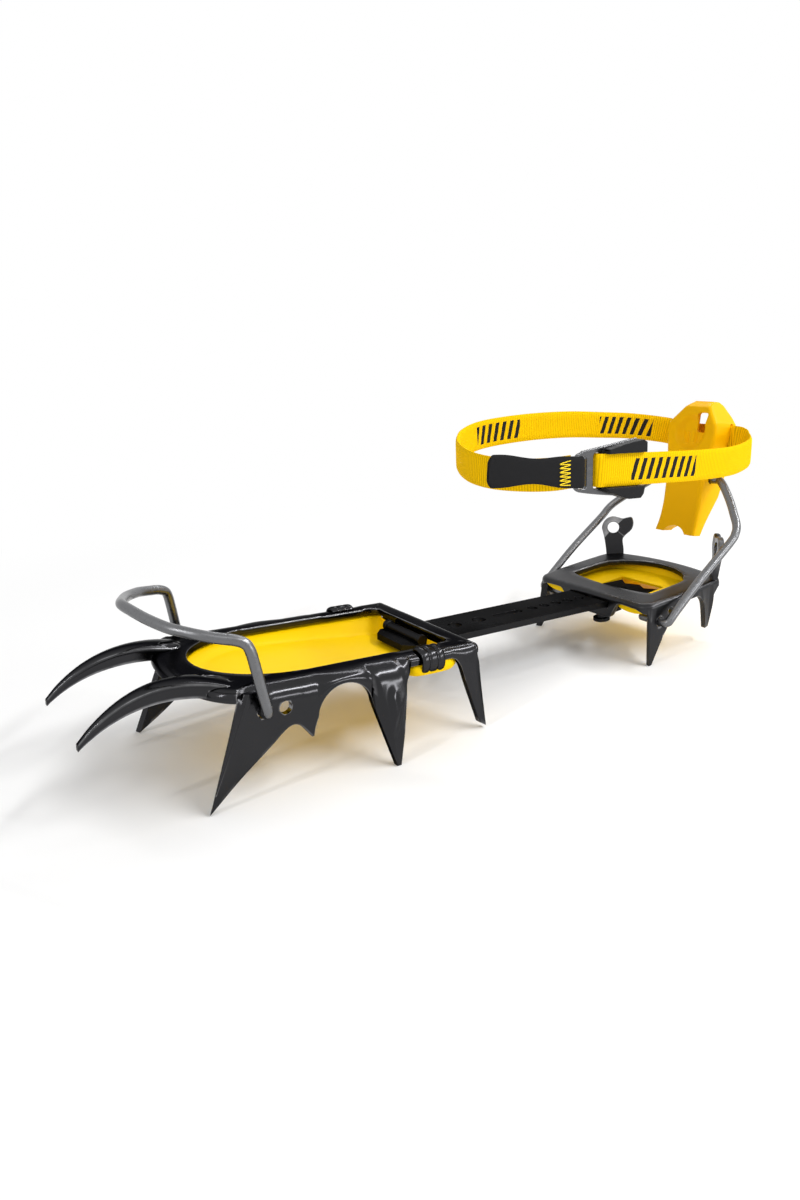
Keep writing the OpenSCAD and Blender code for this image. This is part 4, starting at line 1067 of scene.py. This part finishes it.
class CRAMPON_OT_plates(bpy.types.Operator):
    """Build the two moulded anti-snow plates"""
    bl_idname = "crampon.plates"
    bl_label = "Anti-snow plates"

    def execute(self, context):
        rim = front_leaf(3, lambda x, y: -3.7 - 7.4 * ease(x, 80, 91) * (1 - ease(y, 15.6, 18.6)))
        foot = front_leaf(-8, lambda x, y: np.interp(x, [-12, 40, 78, 90], [-5.8, -7.4, -10.4, -11.1]))
        front = raw_object("front_plate_moulding", [front_pt(tray(rim, foot, 1.8, 14))])
        wing = spline([(-12, 2.5), (17, 2.5), (16.4, 6), (12, 10.4), (6, 12.2), (-6, 12.2), (-10, 9.6),
                       (-12, 2.5)], 5)[:-1]
        wings = [plate(wing * [1, s] + [CLIP_X, s * 29], -9.4, -4.8, 2, 1.4) for s in (1, -1)]
        carve(front, [front_pt(w) for w in wings], "UNION")
        dress(front, "plate", "front_section", "plate_yellow", "front_antisnow_plate", degrees=50)
        heel = raw_object("heel_plate_moulding", [heel_pt(heel_dish())])
        for wide, start, stop in TRAY_CUTS:
            carve(heel, [heel_pt(plate(round_box(wide, 22, 1), start, stop, 0) + [0, 0, -8])])
        extra = [heel_pt(bar_channel())] + [heel_pt(arch_lens(side)) for side in (1, -1)]
        add_parts(heel, extra)
        dress(heel, "plate", "heel_section", "plate_yellow", "heel_antisnow_plate", degrees=50)
        return {"FINISHED"}


# Lever


DISH_AT, DISH_R, RIB_STEP = 24, 10.5, 1.8


def lever_body():
    """The lever's outside: rounded rectangles stacked along the lever, whose width, front and back follow
    the height; the head leans back at its top and a finger scoop dishes the front."""
    h = np.concatenate([np.linspace(-31, 30, 110), np.linspace(30, 41, 40)[1:]])
    half = np.interp(h, [-31, -28, -24, -19, -12, -4, 6, 16, 24, 29, 34, 40, 41], [
        13.6, 13.2, 12.8, 12.6, 12.5, 12.7, 13.4, 15, 16.2, 15.8, 11.8, 7, 6])
    front = np.interp(h, [-31, -27, -22, -15, 29, 38, 41], [-9.4, -8.4, -7.6, -7, -7, -4, 0.6])
    back = np.interp(h, [-31, -10, 0, 33, 39.5, 41], [-2, 10, 12, 12, 9.6, 7])
    smooth = np.hanning(9) / np.hanning(9).sum()
    half, front, back = (
        np.convolve(np.pad(v, 4, mode="edge"), smooth, mode="valid") for v in (half, front, back))
    r = np.minimum(2.2, 0.3 * (back - front))
    a = np.linspace(0, math.pi / 2, 7)
    sx, sy = np.array([1, -1, -1, 1]), np.array([1, 1, -1, -1])
    turn = np.stack([a + k * math.pi / 2 for k in range(4)])
    rows = []
    mid, deep = (front + back) / 2, (back - front) / 2
    for k in range(4):
        x = mid[:, None] + sx[k] * (deep - r)[:, None] + r[:, None] * np.cos(turn[k])
        y = sy[k] * (half - r)[:, None] + r[:, None] * np.sin(turn[k])
        rows.append(cols(x, y))
        if k == 1:
            share = np.linspace(0, 1, 26)[1:-1]
            rows.append(cols(front[:, None], (half - r)[:, None] * (1 - 2 * share)))
    section = np.concatenate(rows, 1)
    x, y, z = section[..., 0], section[..., 1], h[:, None]
    face = x < front[:, None] + 0.6
    reach = np.sqrt((y / DISH_R)**2 + ((z - DISH_AT) / DISH_R)**2)
    dish = 3.0 * (1 - ease(reach, 0.55, 1.0)) * face
    comb = np.exp(-((np.mod(y + RIB_STEP / 2, RIB_STEP) - RIB_STEP / 2) / 0.45)**2) * (np.abs(y) < 5.5)
    ribs = 1.1 * comb * ease(z, 17.5, 19) * (1 - ease(z, 24, 26)) * face
    return lever_pt(cols(x + dish - ribs, y, z))


class CRAMPON_OT_lever(bpy.types.Operator):
    """Build the moulded heel lever"""
    bl_idname = "crampon.lever"
    bl_label = "Heel lever"

    def execute(self, context):
        lever = raw_object("heel_lever_moulding", [lever_body()])
        pocket = plate(round_box(20.4, 49, 2.5), -2.6, 30, 0) + [0, 0, 10.5]
        slot = plate(round_box(2.4, 15.8, 0.8), -40, 40, 1) + [7, 0, 22]
        window = plate(round_box(7, 10.5, 1.5), -20, 3, 0) + [0, -5.6, 29.6]
        notch = rod((-30, 0, -36), (30, 0, -36), 9, 48)
        bore = rod((0, -40, 0), (0, 40, 0), 2.55)
        carve(lever, [lever_pt(pocket)])
        carve(lever, [lever_pt(g) for g in (slot, notch, bore)])
        carve(lever, [lever_pt(window)])
        dress(lever, "lever", "heel_lever", "lever_yellow", "heel_lever")
        return {"FINISHED"}


# Ankle strap


STRAP_EXIT = lever_pt(np.array([7.0, 0, 22.0]))
SHORT_WAY = np.vstack([
    STRAP_EXIT + [(0, -17.4, 0), (0, -18.9, 0), (0.4, -22.6, -0.6), (-2, -28, -2.4)],
    [(281, -36, 97.6), (264, -41.6, 96.4), (246, -45.2, 97), (222, -47.6, 98.6), (196, -48.4, 100.7),
     (174, -48.5, 102.4), (163.4, -48.1, 103.2), (161.2, -46.1, 103.4), (163.4, -44.2, 103.2),
     (173, -43.6, 102.6)]])
LONG_WAY = np.vstack([
    STRAP_EXIT + [(0, 17.4, 0), (0, 18.9, 0), (1.4, 22.4, 0.5), (-0.6, 28.4, 2.2)],
    [(276, 39, 107), (256, 43, 109.2), (230, 45.5, 111.6), (200, 45.8, 112.6), (170, 43, 112), (150, 34, 110),
     (137, 21, 107.6), (129.6, 7, 105.6), (127, -6, 104), (129, -19, 103), (135.4, -31.4, 102.8),
     (142, -39.6, 103.2), (147, -42.3, 103.6), (150, -43.1, 103.8)]])
TAIL_WAY = ((146, -43.6, 104.2), (149, -44.1, 103.9), (152, -44.4, 103.6), (153.4, -46.2, 103.5),
            (152, -48, 103.6), (148, -48.7, 104.2), (140, -49.1, 105.4), (124, -49, 107.6),
            (110, -48.4, 109.2), (101, -47.8, 110))
WEB_STEPS = 13


def webbing(name, way, width, thick, pitch, rib, per):
    """Flat webbing on edge along a path: a rounded strip whose two faces swell at each cross rib, as the
    absolute sine of the length; u runs along the length in metres and v from edge to edge."""
    run, at = evened(spline(way, 24), pitch / per)
    t = unit(np.gradient(run, axis=0))
    n = unit(np.cross(t, UP))
    up = np.cross(n, t)
    w = (width(run[:, 0]) if callable(width) else width + 0 * at) / 2
    swell = rib * np.abs(np.sin(math.pi * at / pitch))
    strip = np.concatenate([np.linspace(-1, 1, WEB_STEPS), np.linspace(1, -1, WEB_STEPS)])
    face = np.repeat([1.0, -1.0], WEB_STEPS)
    flat = 1 - 0.75 * np.abs(strip)**10
    off = face * (thick / 2 * flat + swell[:, None] * flat)
    grid = run[:, None, :] + off[..., None] * n[:, None, :] + (strip * w[:, None])[..., None] * up[:, None, :]
    obj = raw_object(name, [grid])
    uv = cols(np.repeat(at * MM, len(strip)), np.tile(strip / 2 + 0.5, len(at)))
    uv = uv[read_all(obj.data.loops, "vertex_index", np.int32)].astype(np.float32)
    obj.data.uv_layers.new(name="weave").data.foreach_set("uv", uv.ravel())
    return obj


class CRAMPON_OT_strap(bpy.types.Operator):
    """Build the ankle webbing in its three lengths"""
    bl_idname = "crampon.strap"
    bl_label = "Ankle strap"

    def execute(self, context):
        s = sizes()
        size = (s["web_width"], s["web_thick"], s["rib_pitch"], 0.14, 6)
        through = [STRAP_EXIT + d for d in ((0, -17.2, 0), (0, -8, 0), (0, 8, 0), (0, 17.2, 0))]
        inside = webbing("strap_in_lever", through, *size)
        dress(inside, "web_short", "heel_lever", "webbing_yellow", "strap_lever_section", degrees=60)
        for name, way, kind, node in (("strap_short", SHORT_WAY, "web_short", "strap_short_strand"),
                                      ("strap_long", LONG_WAY, "web_long", "strap_long_strand")):
            strand = webbing(name, way, *size)
            dress(strand, kind, None, "webbing_yellow", node, degrees=60)
            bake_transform(strand)
        return {"FINISHED"}


def tab_width(x):
    """The tail tab's width along its length: a waist between a wide end and the fold."""
    waist = np.sin(math.pi * np.clip((x - 106) / 36, 0, 1))**2
    return 13.3 - 2.9 * waist - 4.4 * np.clip((103.4 - x) / 2.4, 0, 1)**2


class CRAMPON_OT_tail(bpy.types.Operator):
    """Build the black tail tab and its zigzag tack"""
    bl_idname = "crampon.tail"
    bl_label = "Tail tab"

    def execute(self, context):
        tab = webbing("tail_tab", TAIL_WAY, tab_width, sizes()["web_thick"], 0.6, 0.02, 2)
        dress(tab, "tab", "heel_bail", "tab_black", "strap_tail_tab", degrees=60)
        turns = np.arange(13)
        zig = cols(np.where(turns % 2, 137.2, 143.0), -50.1, 99.6 + 0.86 * turns)
        run, _ = evened(spline(zig, 8), 0.2)
        thread = sweep(run, np.array([0.02, 1.0, 0.01]), ring(8, 0.24, 0.24))
        tack = raw_object("tack_thread", [thread])
        dress(tack, "thread", "heel_bail", "thread_yellow", "tail_bar_tack", degrees=60)
        return {"FINISHED"}


BUCKLE_Z = 102.6


def buckle_outline():
    """The buckle's frame from the side: a round end and two arms that open out; the upper edge has fine
    teeth."""
    upper = np.linspace(153, 186, 42)
    teeth = cols(upper, 9.6 + 2.6 * (upper - 153) / 33 + np.where(np.arange(len(upper)) % 2, 0.4, 0))
    rest = spline([(186, 11.4), (187, 0), (185, -12.6), (180, -12.8), (166, -10.6), (154, -8.2), (150.4, -7),
                   (148.6, -4.6), (148.2, 0), (148.5, 5.4), (150, 8.4), (153, 9.6)], 6)[:-1]
    return np.concatenate([teeth, rest]) + [0, BUCKLE_Z]


CAM_PLATE = [(163.6, 6), (164.6, 9.4), (176, 11), (186, 11.9), (188.3, 10.6), (188.4, 5), (187.8, -5),
             (187, -12), (185.2, -13.8), (178, -13.2), (166, -8.8), (163.8, -6.6)]
CAM_EARS = ([(165, 7.7), (165.4, 9.6), (176, 11.2), (186, 12.1), (188.5, 10.8), (188.6, 6.2)],
            [(164.2, -7), (165.6, -9), (178, -13.5), (185.4, -14), (187.2, -12.2), (188, -8.7), (176, -7.8)])


class CRAMPON_OT_buckle(bpy.types.Operator):
    """Build the buckle's frame and its cam"""
    bl_idname = "crampon.buckle"
    bl_label = "Buckle"

    def execute(self, context):
        ladder = raw_object("buckle_ladder", [plate(buckle_outline(), -46.9, -45.1, 1)])
        slots = [round_box(5.2, 13.8, 1.4) + [153, 103.2], round_box(15, 15.6, 1.6) + [167, 103.2]]
        carve(ladder, [plate(s, -60, -30, 1) for s in slots])
        dress(ladder, "buckle", "heel_bail", "buckle_steel", "buckle_frame")
        body = plate(np.array(CAM_PLATE) + [0, BUCKLE_Z], -47.2, -44.9, 1)
        cam = raw_object("cam_moulding", [body])
        ears = [plate(np.array(ear) + [0, BUCKLE_Z], -51, -43.4, 1) for ear in CAM_EARS]
        carve(cam, ears, "UNION")
        dress(cam, "black", "heel_bail", "cam_black", "buckle_cam")
        for piece, width in ((ladder, 0.4), (cam, 0.8)):
            ease_edges(piece, width, 3)
        return {"FINISHED"}


# Stage


CAMERA_AT = np.array([-114.11, -320.25, 163.19])
CAMERA_AXES = ((0.83862, -0.54297, -0.04363), (0.19257, 0.22061, 0.95616), (-0.50954, -0.81026, 0.28957))
FOCAL_SHARE = 874.48 / 1200
LAMPS = (("key", (-0.5, -0.9, 1.5), 0.6, 0.6, 1.5), ("rail_strip", (0.85, -0.75, 1.2), 1.4, 0.12, 18.0),
         ("side_panel", (0.65, -1.05, 0.3), 0.7, 0.12, 3.2), ("back_strip", (0.9, 0.5, 1.2), 1.4, 0.04, 6.0),
         ("toe_strip", (-1.3, -0.2, 0.8), 0.05, 0.8, 4.0))


class CRAMPON_OT_stage(bpy.types.Operator):
    """Set the camera, the pale floor and the soft lamps"""
    bl_idname = "crampon.stage"
    bl_label = "Stage"

    def execute(self, context):
        scene = context.scene
        scene.view_settings.view_transform = "Standard"
        lens = bpy.data.cameras.new("camera")
        lens.sensor_width, lens.lens = 36.0, 36.0 * FOCAL_SHARE
        lens.clip_start, lens.clip_end = 0.01, 50
        camera = bpy.data.objects.new("camera", lens)
        turn = Matrix(CAMERA_AXES).transposed().to_4x4()
        camera.matrix_world = Matrix.Translation((CAMERA_AT - MIDDLE) * MM) @ turn
        scene.collection.objects.link(camera)
        scene.camera = camera
        corners = MIDDLE + np.array([(-4, -4, 0), (4, -4, 0), (4, 4, 0), (-4, 4, 0.0)]) / MM
        floor = raw_object("floor", [(corners, [[0, 1, 2, 3]])])
        floor.data.materials.append(self.floor_material())
        for name, at, wide, high, power in LAMPS:
            lamp = bpy.data.lights.new(name, "AREA")
            lamp.shape, lamp.size, lamp.size_y, lamp.energy = "RECTANGLE", wide, high, power
            holder = bpy.data.objects.new(name, lamp)
            holder.location = at
            aim = -np.array(at) + [0, 0, 0.04]
            holder.rotation_euler = Matrix([list(v) for v in self.axes(aim)]).transposed().to_euler()
            scene.collection.objects.link(holder)
        self.world(scene)
        return {"FINISHED"}

    @staticmethod
    def axes(aim):
        """Three directions of a lamp that shines along aim."""
        back = -aim / np.linalg.norm(aim)
        side = unit(np.cross(UP, back))
        return side, np.cross(back, side), back

    @staticmethod
    def background_ray(nodes, links):
        """1 for rays that see the background: camera, glossy and transmission rays."""
        path = nodes.new("ShaderNodeLightPath")
        share = path.outputs["Is Camera Ray"]
        for other in ("Is Glossy Ray", "Is Transmission Ray"):
            top = nodes.new("ShaderNodeMath")
            top.operation = "MAXIMUM"
            links.new(share, top.inputs[0])
            links.new(path.outputs[other], top.inputs[1])
            share = top.outputs[0]
        return share

    def floor_material(self):
        """Pale matt floor that keeps the shadow near the object and fades to white further off."""
        made = Finish("floor_paper", 0.9, specular=0.1)
        made.shader.inputs["Base Color"].default_value = (0.93, 0.93, 0.93, 1)
        place = made.add("ShaderNodeTexCoord").outputs["Object"]
        reach = made.add("ShaderNodeVectorMath", {"Vector": place}, operation="LENGTH")
        inputs = {"Value": reach.outputs["Value"], "From Min": 0.16, "From Max": 0.5}
        fade = made.add("ShaderNodeMapRange", inputs, interpolation_type="SMOOTHSTEP")
        seen = self.background_ray(made.nodes, made.links)
        glow = made.add("ShaderNodeEmission", {"Color": (1, 1, 1, 1), "Strength": 1.0})
        both = made.add("ShaderNodeMixShader", {"Fac": made.math("MULTIPLY", fade.outputs[0], seen)})
        made.links.new(made.shader.outputs[0], both.inputs[1])
        made.links.new(glow.outputs[0], both.inputs[2])
        made.links.new(both.outputs[0], made.nodes["Material Output"].inputs["Surface"])
        return made.material

    def world(self, scene):
        """White for rays that see the background, and a plain soft light for the rest."""
        scene.world = bpy.data.worlds.new("studio")
        scene.world.use_nodes = True
        nodes, links = scene.world.node_tree.nodes, scene.world.node_tree.links
        seen = self.background_ray(nodes, links)
        strength = nodes.new("ShaderNodeMapRange")
        strength.inputs["To Min"].default_value, strength.inputs["To Max"].default_value = 0.45, 1.0
        links.new(seen, strength.inputs["Value"])
        nodes["Background"].inputs["Color"].default_value = (1, 1, 1, 1)
        links.new(strength.outputs[0], nodes["Background"].inputs["Strength"])


OPERATORS = (CRAMPON_OT_stage, CRAMPON_OT_front_frame, CRAMPON_OT_heel_frame, CRAMPON_OT_bails,
             CRAMPON_OT_bar_and_lock, CRAMPON_OT_plates, CRAMPON_OT_lever, CRAMPON_OT_strap, CRAMPON_OT_tail,
             CRAMPON_OT_buckle)


class CRAMPON_PT_panel(bpy.types.Panel):
    """Lists the crampon's pieces in the sidebar"""
    bl_label = "Crampon"
    bl_space_type = "VIEW_3D"
    bl_region_type = "UI"
    bl_category = "Crampon"

    def draw(self, context):
        for group in (context.scene.crampon_sizes, context.scene.crampon_colours):
            for name in group.__annotations__:
                self.layout.prop(group, name)
        for operator in OPERATORS:
            self.layout.operator(operator.bl_idname)


CLASSES = (CramponSizes, CramponColours, *OPERATORS, CRAMPON_PT_panel)


def register():
    """Register the classes and hang the settings on the scene."""
    for cls in CLASSES:
        bpy.utils.register_class(cls)
    bpy.types.Scene.crampon_sizes = PointerProperty(type=CramponSizes)
    bpy.types.Scene.crampon_colours = PointerProperty(type=CramponColours)


def unregister():
    """Take the settings and the classes away again."""
    del bpy.types.Scene.crampon_colours
    del bpy.types.Scene.crampon_sizes
    for cls in reversed(CLASSES):
        bpy.utils.unregister_class(cls)


def main():
    """Build every piece in order."""
    register()
    for operator in OPERATORS:
        group, name = operator.bl_idname.split(".")
        getattr(getattr(bpy.ops, group), name)()


if __name__ == "__main__":
    main()
